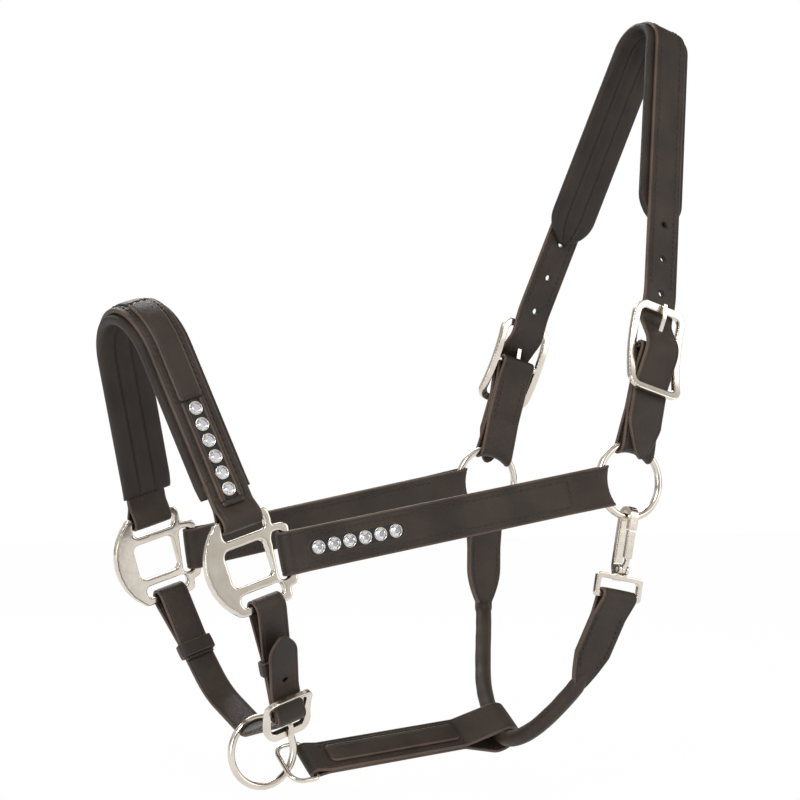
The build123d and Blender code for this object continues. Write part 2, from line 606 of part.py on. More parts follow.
save("crown_strap", crown_strap())
save("crown_padding", crown_padding())
save_pair("crown_chape", crown_chape())
save_pair("crown_buckle", buckle(CROWN_BUCKLE_PLANE, CROWN_BUCKLE_LENGTH, CROWN_BUCKLE_WIDTH, BUCKLE_RIM, CROWN_BUCKLE_BOW))
save_pair("crown_tongue", tongue(CROWN_BUCKLE_PLANE, CROWN_BUCKLE_LENGTH, BUCKLE_RIM, CROWN_BUCKLE_BOW))


# ------------------------------------------------------------------ throat
EYE_BORE = math.hypot(EYE_WIRE, EYE_WIRE) + 2 * FOLD_GAP


def arc_centre(points, index, radius):
    """Centre of the arc that rounds one corner of a path."""
    corner = Vector(*points[index])
    back = (Vector(*points[index - 1]) - corner).normalized()
    ahead = (Vector(*points[index + 1]) - corner).normalized()
    middle = (back + ahead).normalized()
    return corner + middle * (radius / math.sin(back.get_angle(ahead) * math.pi / 360))


RING_LOW = (-HALF_RING_SPAN - sin(SIDE_LEAN) * RING_RADIUS, -RING_RADIUS * cos(SIDE_LEAN))


def hang_plane(back, tilt):
    """Plane across the head, leaning forward going down, for one end of the throat strap."""
    return Plane(origin=RINGS_MIDDLE + Vector(back, 0, 0), x_dir=(0, 1, 0), z_dir=(cos(tilt), 0, -sin(tilt)))


def on_plane(plane, place):
    return plane.origin + plane.x_dir * place[0] + plane.y_dir * place[1]


NEAR_PLANE = hang_plane(NEAR_HANG, NEAR_HANG_TILT)
FAR_PLANE = hang_plane(0, FAR_HANG_TILT)
FAR_RING_LOW = (-RING_LOW[0], RING_LOW[1])


def throat_points():
    """Corners of the roll's route, its first and last runs in line with the chapes it grows out of."""
    start = on_plane(NEAR_PLANE, NEAR_ROLL_START)
    end = on_plane(FAR_PLANE, FAR_ROLL_START)
    leaving = (start - on_plane(NEAR_PLANE, NEAR_EYE)).normalized()
    arriving = (end - on_plane(FAR_PLANE, FAR_RING_LOW)).normalized()
    middle = [RINGS_MIDDLE + Vector(*place) for place in THROAT_LOW]
    return [start, start + leaving * ROLL_START_RUN] + middle + [end + arriving * ROLL_START_RUN, end]


def route(points):
    """Line of straight runs through the points, each corner rounded as far as its two runs allow."""
    radii = []
    for before, corner, after in zip(points, points[1:], points[2:]):
        turn = (corner - before).get_angle(after - corner)
        shorter = min((corner - before).length, (after - corner).length)
        radii.append(0.45 * shorter / tan(turn / 2))
    return FilletPolyline(*points, radius=radii)


def throat_roll():
    line = route(throat_points())
    return sweep(Plane(origin=line @ 0, z_dir=line % 0) * Circle(THROAT_ROLL / 2), path=line)


def roll_taper(plane, start, end):
    """Cutter that narrows a chape to the roll's width at its end."""
    down = (on_plane(plane, end) - on_plane(plane, start)).normalized()
    flat = Plane(origin=on_plane(plane, end), x_dir=down * -1, z_dir=plane.z_dir.cross(down))
    half = WIDE_STRAP / 2
    roll = THROAT_ROLL / 2
    corner = make_face(Polyline((-1, roll), (0, roll), (THROAT_TAPER, half + 0.01), (THROAT_TAPER, half + 3),
                                (-1, half + 3), close=True))
    return extrude(flat * (corner + mirror(corner, about=Plane.XZ)), amount=12, both=True)


def throat_chape(plane, start, end, bar, closing, drop):
    """Two layers folded round a bar and narrowed to the roll."""
    length = math.dist(start, end)
    leather, hollow = fold(bar, LAYER, closing, LAYER, drop=drop)
    body = Pos(closing - 2, -LAYER) * Rectangle(length - closing + 2, 2 * LAYER, align=(Align.MIN, Align.MIN))
    chape = through(aimed(start, end) * (leather + body - hollow), plane, WIDE_STRAP)
    return chape - roll_taper(plane, start, end)


def far_throat_chape():
    chape = throat_chape(FAR_PLANE, FAR_RING_LOW, FAR_ROLL_START, RING_BORE, 22, (-RING_DROP, 0))
    ring_centre = RINGS_MIDDLE + Vector(0, HALF_RING_SPAN, 0)
    down = (on_plane(FAR_PLANE, FAR_RING_LOW) - ring_centre).normalized()
    return chape - ring_corners(ring_centre, down, down.cross(FAR_PLANE.z_dir))


def near_throat_chape():
    return throat_chape(NEAR_PLANE, NEAR_EYE, NEAR_ROLL_START, EYE_BORE, 14, (0, 0))


save("throat_roll", throat_roll())
save("far_throat_chape", far_throat_chape())
save("near_throat_chape", near_throat_chape())


# ------------------------------------------------------------------ snap hook
SNAP_LENGTH = math.dist(RING_LOW, NEAR_EYE)
SNAP_PLACE = aimed(RING_LOW, NEAR_EYE)
HOOK = HOOK_INSIDE + SHANK_THICKNESS / 2
EYE_TOP = SNAP_LENGTH - EYE_HEIGHT
GATE_PIN = (EYE_TOP - 5.0, -1.2)
HOOK_TIP = 8.0


def snap_body():
    """Hook, shank and square eye in one casting, with a slotted boss for the gate."""
    half = SHANK_THICKNESS / 2
    points = [(HOOK_TIP, -HOOK), (-HOOK, -HOOK), (-HOOK, HOOK), (EYE_TOP - 7, HOOK), (EYE_TOP + half, half)]
    radii = [HOOK - 0.05, HOOK - 0.05, 6]
    body = through(SNAP_PLACE * ribbon(points, radii, -half, half), NEAR_PLANE, SHANK_WIDTH)
    boss = Pos(*GATE_PIN) * Circle(3.1) + Pos(EYE_TOP - 4.4, 1.0) * Rectangle(8, 5.6)
    body += through(SNAP_PLACE * boss, NEAR_PLANE, SHANK_WIDTH + 1)
    body -= through(SNAP_PLACE * Pos(*GATE_PIN) * (Circle(3.5) + Pos(-6, 0) * Rectangle(12, 7)), NEAR_PLANE, 3.4)
    body -= through(SNAP_PLACE * Pos(*GATE_PIN) * Circle(PIN / 2), NEAR_PLANE, 30)
    eye_plane = snap_eye_plane()
    width = WIDE_STRAP + 2 * EYE_SIDE_GAP
    inner = RectangleRounded(EYE_HEIGHT - EYE_WIRE, width, 1.5)
    outer = RectangleRounded(EYE_HEIGHT + EYE_WIRE, width + 2 * EYE_WIRE, 2.5)
    return body + through(outer - inner, eye_plane, EYE_WIRE)


def snap_direction():
    return (on_plane(NEAR_PLANE, NEAR_EYE) - on_plane(NEAR_PLANE, RING_LOW)).normalized()


def snap_eye_plane():
    down = snap_direction()
    return Plane(origin=on_plane(NEAR_PLANE, NEAR_EYE) - down * (EYE_HEIGHT / 2), x_dir=down, z_dir=NEAR_PLANE.z_dir.cross(down))


def snap_gate():
    """Spring gate: an eye on the pin and a bar up to the hook's tip."""
    half = GATE_THICKNESS / 2
    low = (GATE_PIN[0] - 5.2, -HOOK)
    bar = ribbon([GATE_PIN, (low[0] + 0.8, low[1]), (HOOK_TIP + 0.4, -HOOK)], [4], -half, half)
    eye = Pos(*GATE_PIN) * (Circle(2.6) - Circle(PIN / 2 + 0.15))
    narrow = through(SNAP_PLACE * (bar - Pos(*GATE_PIN) * Circle(PIN / 2 + 0.15) + eye), NEAR_PLANE, 2.8)
    wide = bar & Pos(HOOK_TIP + 0.4, -HOOK) * Rectangle(low[0] - HOOK_TIP - 2.5, 8, align=(Align.MIN, Align.CENTER))
    return narrow + through(SNAP_PLACE * wide, NEAR_PLANE, GATE_WIDTH)


def snap_pin():
    return through(SNAP_PLACE * Pos(*GATE_PIN) * Circle(PIN / 2), NEAR_PLANE, SHANK_WIDTH + 1)


save("snap_hook", snap_body())
save("snap_gate", snap_gate())
save("snap_gate_pin", snap_pin())


# ------------------------------------------------------------------ chin straps
FAR_BOTTOM_BAR = (-BOTTOM_BAR[0], BOTTOM_BAR[1])
CHIN_TIP, CHIN_ON_CHAPE, CHIN_ON_BAR, CHIN_BEHIND = buckle_stack(
    CHIN_BUCKLE_LENGTH, CHIN_BUCKLE_RIM, CHIN_BUCKLE_BOW, CHIN_LAYER, CHIN_THICKNESS)
LOOP_DROP = CHIN_LOOP / 2 - SQUARE_BORE / 2


def towards(start, end):
    length = math.dist(start, end)
    return (end[0] - start[0]) / length, (end[1] - start[1]) / length


def nose_point(place):
    return NOSE_PLANE.origin + Vector(0, place[0], 0) + UP_NOSE * place[1]


HANGER_DOWN = towards(BOTTOM_BAR, CHIN_BAR)
HANGER_OUT = (HANGER_DOWN[1], -HANGER_DOWN[0])
HANGER_DOWN_3D = Vector(0, HANGER_DOWN[0], 0) + UP_NOSE * HANGER_DOWN[1]
HANGER_OUT_3D = Vector(0, HANGER_OUT[0], 0) + UP_NOSE * HANGER_OUT[1]
CHIN_BUCKLE_PLANE = tipped_plane(nose_point(CHIN_BAR), HANGER_DOWN_3D, HANGER_OUT_3D, CHIN_TIP)
CHIN_BUCKLE_WIDTH = CHIN_STRAP + 2 * CHIN_BUCKLE_SIDE_GAP + 2 * CHIN_BUCKLE_RIM


def by_chin_bar(along, out):
    return (CHIN_BAR[0] + HANGER_DOWN[0] * along + HANGER_OUT[0] * out,
            CHIN_BAR[1] + HANGER_DOWN[1] * along + HANGER_OUT[1] * out)


def loop_over(bar, towards_point, leather, closing):
    """Outlines and place of a wide loop hanging on a square's bottom bar."""
    down = towards(bar, towards_point)
    centre = (bar[0] + down[0] * LOOP_DROP, bar[1] + down[1] * LOOP_DROP)
    shape, hollow = fold(CHIN_LOOP, leather, closing, leather)
    return aimed(centre, towards_point), shape, hollow


def chin_hanger():
    """Short chape on the near square that carries the chin buckle."""
    place, loop, loop_hollow = loop_over(BOTTOM_BAR, CHIN_BAR, CHIN_LAYER, CHIN_LOOP_CLOSING)
    length = math.dist(BOTTOM_BAR, CHIN_BAR) - LOOP_DROP
    low, low_hollow = fold(CHAPE_FOLD, CHIN_LAYER, 8, CHIN_LAYER)
    turned = Pos(length, 0) * Rot(0, 0, 180)
    body = Pos(CHIN_LOOP_CLOSING - 1, -CHIN_LAYER) * Rectangle(
        length - CHIN_LOOP_CLOSING - 7, 2 * CHIN_LAYER, align=(Align.MIN, Align.MIN))
    outline = loop + body + turned * low - loop_hollow - turned * low_hollow
    hanger = through(place * outline, NOSE_PLANE, CHIN_STRAP)
    return hanger - CHIN_BUCKLE_PLANE * Box(16, TONGUE_WIDTH + 1.6, 16)


def chin_path():
    """Middle line of the chin strap, from its point through the buckle and round to the far side."""
    rim_edge = (CHIN_BUCKLE_LENGTH / 2 - CHIN_BUCKLE_RIM) * cos(CHIN_TIP)
    local = [(-CHIN_TIP_LENGTH, CHIN_ON_CHAPE + CHIN_TIP_LIFT), (-rim_edge - 6.7, CHIN_ON_CHAPE),
             (-rim_edge + 1.4, CHIN_ON_CHAPE), (2.6, CHIN_ON_BAR + 1.8)]
    near = [by_chin_bar(*place) for place in local]
    down = towards(FAR_BOTTOM_BAR, CHIN_STRAP_FAR)
    reach = CHIN_LOOP_CLOSING + LOOP_DROP - 1
    side = CHIN_THICKNESS / 2
    top = (FAR_BOTTOM_BAR[0] + down[0] * reach - down[1] * side, FAR_BOTTOM_BAR[1] + down[1] * reach + down[0] * side)
    return near + [CHIN_STRAP_LOW, CHIN_STRAP_FAR, top], [15, 4, 5.6, 16, 40]


CHIN_POINTS, CHIN_RADII = chin_path()


def chin_strap():
    """Long chin strap: looped over the far square, through the chin ring, pointed at the near end."""
    half = CHIN_THICKNESS / 2
    run = ribbon(CHIN_POINTS, CHIN_RADII, -half, half)
    place, loop, hollow = loop_over(FAR_BOTTOM_BAR, CHIN_STRAP_FAR, CHIN_THICKNESS, CHIN_LOOP_CLOSING)
    turned_in = Pos(CHIN_LOOP_CLOSING - 1, -CHIN_THICKNESS) * Rectangle(12, CHIN_THICKNESS, align=(Align.MIN, Align.MIN))
    outline = run + place * (loop + turned_in - hollow)
    strap = through(outline, NOSE_PLANE, CHIN_STRAP)
    step = towards(CHIN_POINTS[0], CHIN_POINTS[1])
    inward = Vector(0, step[0], 0) + UP_NOSE * step[1]
    outward = inward.cross(ACROSS_NOSE)
    point = pointed_end(nose_point(CHIN_POINTS[0]), inward, outward, ACROSS_NOSE, CHIN_STRAP, 12)
    slot = tongue_slot(CHIN_BUCKLE_PLANE, CHIN_BUCKLE_LENGTH, CHIN_BUCKLE_RIM, CHIN_BUCKLE_BOW, 1.0)
    return strap - point - slot


def keeper(bar, towards_point, distance, thickness, shift):
    """Leather loop round a strap, that far below the bar it hangs on."""
    down = towards(bar, towards_point)
    centre = (bar[0] + down[0] * distance - down[1] * shift, bar[1] + down[1] * distance + down[0] * shift)
    place = aimed(centre, (centre[0] + down[0], centre[1] + down[1]))
    slack = 2 * THREAD_SLACK
    outer = through(place * Rectangle(KEEPER_LENGTH, thickness + slack + 2 * KEEPER_LEATHER), NOSE_PLANE,
                    CHIN_STRAP + slack + 2 * KEEPER_LEATHER)
    inner = through(place * Rectangle(KEEPER_LENGTH + 2, thickness + slack), NOSE_PLANE, CHIN_STRAP + slack)
    return outer - inner


NEAR_KEEPER_AT = CHIN_LOOP_CLOSING + LOOP_DROP + KEEPER_LENGTH / 2 + 1
save("chin_hanger", chin_hanger())
save("chin_strap", chin_strap())
save("chin_buckle", buckle(CHIN_BUCKLE_PLANE, CHIN_BUCKLE_LENGTH, CHIN_BUCKLE_WIDTH, CHIN_BUCKLE_RIM, CHIN_BUCKLE_BOW))
save("chin_tongue", tongue(CHIN_BUCKLE_PLANE, CHIN_BUCKLE_LENGTH, CHIN_BUCKLE_RIM, CHIN_BUCKLE_BOW))
save("near_chin_keeper", keeper(BOTTOM_BAR, CHIN_BAR, NEAR_KEEPER_AT, 2 * CHIN_LAYER, 0))
save("far_chin_keeper", keeper(FAR_BOTTOM_BAR, CHIN_STRAP_FAR, NEAR_KEEPER_AT, 2 * CHIN_THICKNESS, 0))


# ------------------------------------------------------------------ chin ring, dee and gullet strap
CHIN_RING_RADIUS = (CHIN_RING_OUTSIDE - RING_WIRE) / 2
CHIN_BEND = arc_centre(CHIN_POINTS, 4, CHIN_RADII[3])
STRAP_TOP = CHIN_BEND.Y - CHIN_RADII[3] + CHIN_THICKNESS / 2
WIRE_HEIGHT = STRAP_TOP + ring_sagitta(CHIN_RING_RADIUS, CHIN_STRAP) + RING_WIRE / 2 + CHIN_RING_GAP
CHIN_RING_TOP = nose_point((CHIN_BEND.X, WIRE_HEIGHT))
CHIN_RING_CENTRE = CHIN_RING_TOP - UP_NOSE * CHIN_RING_RADIUS
CHIN_RING_PLANE = Plane(origin=CHIN_RING_CENTRE, x_dir=(1, 0, 0), z_dir=(0, -1, 0))
DEE_CONTACT = CHIN_RING_CENTRE + Vector(cos(DEE_AT), 0, -sin(DEE_AT)) * CHIN_RING_RADIUS

GULLET_END = RINGS_MIDDLE + Vector(*THROAT_LOW[GULLET_HOLD])
GULLET_BACK = (GULLET_END - DEE_CONTACT).normalized()
LEVEL_TWIST = Vector(0, -cos(GULLET_TWIST), -sin(GULLET_TWIST))
GULLET_ACROSS = (LEVEL_TWIST - GULLET_BACK * LEVEL_TWIST.dot(GULLET_BACK)).normalized()
DEE_BAR = DEE_CONTACT + GULLET_BACK * (DEE_REACH - DEE_WIRE / 2 - RING_WIRE / 2 - DEE_SLACK)
GULLET_LENGTH = (GULLET_END - DEE_BAR).length
GULLET_PLANE = Plane(origin=DEE_BAR, x_dir=GULLET_BACK, z_dir=GULLET_ACROSS)
DEE_PLANE = Plane(origin=DEE_BAR, x_dir=GULLET_BACK, z_dir=GULLET_BACK.cross(GULLET_ACROSS))


def dee():
    half = GULLET_STRAP / 2 + 1.5 + DEE_WIRE / 2
    points = [(0, 0), (0, half), (-DEE_REACH, half), (-DEE_REACH, -half), (0, -half), (0, 0)]
    edges = chain(points, [3, DEE_BEND, DEE_BEND, 3], 0)
    path = DEE_PLANE * Wire(edges)
    return sweep(Plane(origin=path @ 0, z_dir=path % 0) * Circle(DEE_WIRE / 2), path=path)


def gullet_strap():
    """Jowl strap of two layers, folded round the dee's bar in front and looped round the roll."""
    front, front_hollow = fold(DEE_WIRE + 2 * FOLD_GAP, GULLET_LAYER, 10, GULLET_LAYER)
    back, back_hollow = fold(2 * GULLET_LOOP_RADIUS, GULLET_LAYER, 30, GULLET_LAYER)
    turned = Pos(GULLET_LENGTH, 0) * Rot(0, 0, 180)
    body = Pos(9, -GULLET_LAYER) * Rectangle(GULLET_LENGTH - 38, 2 * GULLET_LAYER, align=(Align.MIN, Align.MIN))
    outline = front + body + turned * back - front_hollow - turned * back_hollow
    return through(outline, GULLET_PLANE, GULLET_STRAP)


def gullet_overlay():
    start = 14
    face = Pos(start, GULLET_LAYER) * Rectangle(GULLET_LENGTH - start - 34, 1.6, align=(Align.MIN, Align.MIN))
    return through(face, GULLET_PLANE, GULLET_STRAP * 0.55)


save("chin_ring", ring(CHIN_RING_OUTSIDE, CHIN_RING_PLANE))
save("chin_dee", dee())
save("gullet_strap", gullet_strap())
save("gullet_overlay", gullet_overlay())
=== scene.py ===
"""Looks for a leather headcollar, laid out as an add-on: one operator per group of pieces."""

import json
import math

import bmesh
import bpy
import numpy as np
from bpy.props import FloatProperty, FloatVectorProperty, IntProperty, PointerProperty
from bpy.types import Operator, Panel, PropertyGroup
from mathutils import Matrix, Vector


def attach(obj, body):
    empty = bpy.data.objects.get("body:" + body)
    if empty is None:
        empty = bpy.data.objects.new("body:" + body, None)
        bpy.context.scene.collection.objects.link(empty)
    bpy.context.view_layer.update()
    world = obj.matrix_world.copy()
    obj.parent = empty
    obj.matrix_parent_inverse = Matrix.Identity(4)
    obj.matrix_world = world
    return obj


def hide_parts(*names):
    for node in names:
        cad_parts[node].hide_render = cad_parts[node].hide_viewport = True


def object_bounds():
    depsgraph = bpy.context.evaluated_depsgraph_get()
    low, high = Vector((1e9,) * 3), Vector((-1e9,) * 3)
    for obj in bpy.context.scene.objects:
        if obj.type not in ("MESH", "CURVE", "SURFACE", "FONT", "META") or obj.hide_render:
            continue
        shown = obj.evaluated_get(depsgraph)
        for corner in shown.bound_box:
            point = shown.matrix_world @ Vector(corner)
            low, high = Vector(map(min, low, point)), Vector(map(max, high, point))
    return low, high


bl_info = {
    "name": "Leather headcollar",
    "version": (1, 0, 0),
    "blender": (4, 5, 0),
    "location": "View3D > Sidebar > Headcollar",
    "description": "Builds the looks of a padded leather headcollar piece by piece",
    "category": "Object",
}

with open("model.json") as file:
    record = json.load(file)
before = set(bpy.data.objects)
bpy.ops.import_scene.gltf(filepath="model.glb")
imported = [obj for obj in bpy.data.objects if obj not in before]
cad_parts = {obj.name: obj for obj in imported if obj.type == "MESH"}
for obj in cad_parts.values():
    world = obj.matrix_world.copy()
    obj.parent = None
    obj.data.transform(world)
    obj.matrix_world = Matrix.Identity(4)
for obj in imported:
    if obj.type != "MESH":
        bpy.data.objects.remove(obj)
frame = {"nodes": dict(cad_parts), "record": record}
CAD_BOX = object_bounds()
ROOT = "straps_and_fittings"
JOINTS = {joint["name"]: joint for joint in frame["record"]["behaviour"]["joints"]}


# ------------------------------------------------------------------ directions and places, in millimetres
def turn(degrees):
    """Cosine and sine of an angle in degrees."""
    angle = math.radians(degrees)
    return math.cos(angle), math.sin(angle)


def unit(vector):
    """The direction of a vector, one long."""
    vector = np.asarray(vector, float)
    return vector / np.linalg.norm(vector)


HEAD_COS, HEAD_SIN = turn(15.5)
NOSE_COS, NOSE_SIN = turn(18.0)
SIDE_COS, SIDE_SIN = turn(4.0)
X = np.array([1.0, 0.0, 0.0])
Y = np.array([0.0, 1.0, 0.0])
UP_HEAD = np.array([HEAD_SIN, 0.0, HEAD_COS])
ACROSS_HEAD = np.array([HEAD_COS, 0.0, -HEAD_SIN])
UP_NOSE = np.array([-NOSE_SIN, 0.0, NOSE_COS])
ACROSS_NOSE = np.array([NOSE_COS, 0.0, NOSE_SIN])
SIDE_UP = np.array([0.0, SIDE_SIN, SIDE_COS])
SIDE_OUT = np.array([0.0, -SIDE_COS, SIDE_SIN])
MIRROR = np.array([1.0, -1.0, 1.0])

MM = 1000
NEAR_RING = np.array(JOINTS["near_side_ring_turn"]["pos_m"]) * MM
CHIN_RING = np.array(next(m for m in frame["record"]["mounts"] if m["name"] == "chin_ring")["pos_m"]) * MM
RINGS_MIDDLE = NEAR_RING * np.array([1.0, 0.0, 1.0])
HALF_RING_SPAN = 83.0
RINGS_TO_SQUARE = np.array([-252.0, -66.0, -46.0])
SQUARE = RINGS_MIDDLE + RINGS_TO_SQUARE
NOSE_ORIGIN = SQUARE * np.array([1.0, 0.0, 1.0])
SQUARE_UP = SIDE_UP * NOSE_COS - X * NOSE_SIN
RING_R = 22.75
CHIN_RING_R = 20.75
WIRE = 4.5
RING_BORE = WIRE + 1.2
SQUARE_BORE = math.hypot(4.4, 4.6) + 0.9
BAR_BORE = 3.6 + 0.9
LAYER = 2.4
CROWN_T = 3.0
NOSE_T = 3.8
STITCH_INSET = 4.6
STITCH_SLANT = 9.0
BUCKLE_T = 3.4
PAD_CHANNELS = 3
PAD_ROUNDING = 1.17


# ------------------------------------------------------------------ lines
def arc(centre, radius, start, end, step=0.8):
    """Points on a circle from one angle to another, in radians, evenly spaced."""
    count = max(4, int(abs(end - start) * radius / step) + 1)
    angles = np.linspace(start, end, count)
    return np.stack([centre[0] + radius * np.cos(angles), centre[1] + radius * np.sin(angles)], 1)


def trail(points, radii):
    """Straight runs joined by tangent arcs: each corner is cut back by radius times tan(turn / 2)."""
    points = np.asarray(points, float)
    parts = [points[:1]]
    for index, radius in enumerate(radii, start=1):
        run = unit(points[index] - points[index - 1])
        ahead = unit(points[index + 1] - points[index])
        bend = math.atan2(run[0] * ahead[1] - run[1] * ahead[0], float(run @ ahead))
        side = 1 if bend > 0 else -1
        left = np.array([-run[1], run[0]])
        start = points[index] - run * radius * math.tan(abs(bend) / 2)
        centre = start + left * side * radius
        first = math.atan2(*(start - centre)[::-1])
        parts.append(arc(centre, radius, first, first + bend))
    parts.append(points[-1:])
    return np.concatenate(parts)


def even(points, step, closed=False):
    """The same line with points at equal distances along it, and those distances."""
    if closed:
        points = np.concatenate([points, points[:1]])
    lengths = np.linalg.norm(np.diff(points, axis=0), axis=1)
    keep = np.concatenate([[True], lengths > 1e-6])
    points = points[keep]
    along = np.concatenate([[0], np.cumsum(np.linalg.norm(np.diff(points, axis=0), axis=1))])
    count = max(8, int(along[-1] / step))
    at = np.linspace(0, along[-1], count + 1)
    line = np.stack([np.interp(at, along, points[:, axis]) for axis in range(points.shape[1])], 1)
    return (line[:-1], at) if closed else (line, at)


def soften(points, closed=False):
    """Each point moved twice to a quarter, half, quarter mean with its neighbours."""
    for _ in range(2):
        if closed:
            points = (np.roll(points, 1, 0) + 2 * points + np.roll(points, -1, 0)) / 4
        else:
            middle = (points[:-2] + 2 * points[1:-1] + points[2:]) / 4
            points = np.concatenate([points[:1], middle, points[-1:]])
    return points


def tangents(points, closed=False):
    """Unit direction of the line at each point, from its two neighbours."""
    if closed:
        direction = np.roll(points, -1, 0) - np.roll(points, 1, 0)
    else:
        direction = np.gradient(points, axis=0)
    return direction / np.linalg.norm(direction, axis=1)[:, None]


def fold_arc(bore, layer, closing, half):
    """Centre radius of a folded layer and the angle at which its straight sides touch it."""
    radius = bore / 2 + layer / 2
    return radius, math.atan2(half, closing) + math.acos(radius / math.hypot(closing, half))


def belt(length, bore_a, bore_b, layer, close_a, close_b, step=1.0):
    """Closed line of a strap folded round two bars at 0 and at length, the layers meeting between."""
    half = layer / 2
    radius_a, angle_a = fold_arc(bore_a, layer, close_a, half)
    radius_b, angle_b = fold_arc(bore_b, layer, close_b, half)
    top = np.array([[close_a, half], [length - close_b, half]])
    far = arc((length, 0), radius_b, math.pi - angle_b, angle_b - math.pi)
    near = arc((0, 0), radius_a, -angle_a, angle_a - 2 * math.pi)
    line = np.concatenate([top, far, top[::-1] * [1, -1], near])
    line, at = even(line, step, closed=True)
    return soften(line, closed=True), at


# ------------------------------------------------------------------ meshes
def new_object(name, points, faces, uv=None, edge=None):
    """Mesh object from points in millimetres, faces, corner UVs in metres and an edge value per point."""
    mesh = bpy.data.meshes.new(name)
    corners = faces.tolist() if hasattr(faces, "tolist") else faces
    mesh.from_pydata((np.asarray(points) / MM).tolist(), [], corners)
    # The edge value per point is the share of the lighter edge colour: partly burnish, partly a painted
    # highlight.
    if edge is not None:
        values = mesh.attributes.new("edge", "FLOAT", "POINT").data
        values.foreach_set("value", np.asarray(edge, np.float32).ravel())
    if uv is not None:
        mesh.uv_layers.new(name="strap").data.foreach_set("uv", np.asarray(uv, np.float32).ravel())
    mesh.validate()
    mesh.shade_smooth()
    item = bpy.data.objects.new(name, mesh)
    bpy.context.scene.collection.objects.link(item)
    return item


def recalculate(mesh):
    """Turns every face of a closed mesh outwards."""
    shape = bmesh.new()
    shape.from_mesh(mesh)
    bmesh.ops.recalc_face_normals(shape, faces=shape.faces)
    shape.to_mesh(mesh)
    shape.free()


def grid_faces(rows, columns, wrap_rows):
    """Quads of rings of points, each ring joined round, and the last ring to the first if asked."""
    row = np.arange(rows if wrap_rows else rows - 1)
    i, j = (part.ravel() for part in np.meshgrid(row, np.arange(columns), indexing="ij"))
    i2, j2 = (i + 1) % rows, (j + 1) % columns
    faces = np.stack([i * columns + j, i * columns + j2, i2 * columns + j2, i2 * columns + j], 1)
    return faces, i, j


def outward(points, faces):
    """The faces, turned over if the volume they close comes out negative."""
    a, b, c = points[faces[:, 0]], points[faces[:, 1]], points[faces[:, 2]]
    volume = np.einsum("ij,ij->", a, np.cross(b, c))
    if faces.shape[1] == 4:
        d = points[faces[:, 3]]
        volume += np.einsum("ij,ij->", a, np.cross(c, d))
    return faces if volume > 0 else faces[:, ::-1]


def sweep_surface(name, rings, along, around, edge, closed):
    """Closed skin over rings of points; open ends are shut by a fan to each end's middle."""
    rows, columns = rings.shape[:2]
    faces, i, j = grid_faces(rows, columns, closed)
    points = rings.reshape(-1, 3)
    here, ahead = along[i], along[np.minimum(i + 1, len(along) - 1)]
    low, high = around[j], around[j + 1]
    corners = ((here, low), (here, high), (ahead, high), (ahead, low))
    uv = np.stack([np.stack(corner, 1) for corner in corners], 1) / MM
    right_way = outward(points, faces)
    flipped = right_way is not faces
    if flipped:
        uv = uv[:, ::-1]
    quads = right_way.tolist()
    values = np.broadcast_to(edge, (rows, columns)).ravel()
    corners = uv.reshape(-1, 2)
    if not closed:
        quads, corners, points, values = close_ends(points, quads, corners, values, rows, columns, flipped)
    return new_object(name, points, quads, corners, values)


def close_ends(points, quads, corners, values, rows, columns, flipped):
    """Adds a middle point and a fan of triangles at the first and the last ring."""
    first, last = points[:columns], points[-columns:]
    points = np.concatenate([points, first.mean(0)[None], last.mean(0)[None]])
    around = np.arange(columns)
    after = (around + 1) % columns
    middle = rows * columns
    start = np.stack([np.full(columns, middle), after, around], 1)
    last_ring = (rows - 1) * columns
    end = np.stack([np.full(columns, middle + 1), around + last_ring, after + last_ring], 1)
    fans = np.concatenate([start, end])
    if flipped:
        fans = fans[:, ::-1]
    corners = np.concatenate([corners, np.zeros((len(fans) * 3, 2))])
    return quads + fans.tolist(), corners, points, np.concatenate([values, [1.0, 1.0]])


def strap_profile(half_width, half_thick, crease=2.3, groove=0.28, crown=0.12):
    """Section of a strap: flat faces with a creased line near each edge and rounded edges.

    Returns places across, heights and edge values round the section; the edge values set the share of the
    lighter edge colour, partly burnish and partly a painted highlight.
    """
    corner = min(0.95 * half_thick, 1.15)
    inner = half_width - corner
    lines = [0, 0.3 * half_width, 0.55 * half_width, half_width - 6, half_width - 4]
    lines += [half_width - crease + d for d in (-0.8, -0.35, 0, 0.35, 0.8)] if groove > 0 else []
    across = np.array(sorted(set(v for v in lines if 0 <= v < inner)) + [inner])
    height = half_thick * (1 - crown * (across / half_width) ** 2)
    if groove > 0:
        height = height - groove * np.exp(-(((across - half_width + crease) / 0.32) ** 2))
    bend = np.linspace(0, math.pi / 2, 5)[1:]
    rim_y = inner + corner * np.sin(bend)
    rim_h = height[-1] * np.cos(bend) ** 0.9
    y = np.concatenate([across, rim_y])
    h = np.concatenate([height, rim_h])
    # Edge values: 0 on the faces, up to 1 on the rounded edges, where the lighter colour is partly burnish
    # and partly a painted highlight.
    burnish_and_sheen = np.concatenate([np.zeros(len(across) - 1), [0.25], [0.8, 1.0, 1.0, 1.0]])
    y = np.concatenate([y, y[-2::-1], -y[1:], -y[-2:0:-1]])
    h = np.concatenate([h, -h[-2::-1], -h[1:], h[-2:0:-1]])
    burnish_and_sheen = np.concatenate([burnish_and_sheen, burnish_and_sheen[-2::-1], burnish_and_sheen[1:], burnish_and_sheen[-2:0:-1]])
    return y, h, burnish_and_sheen


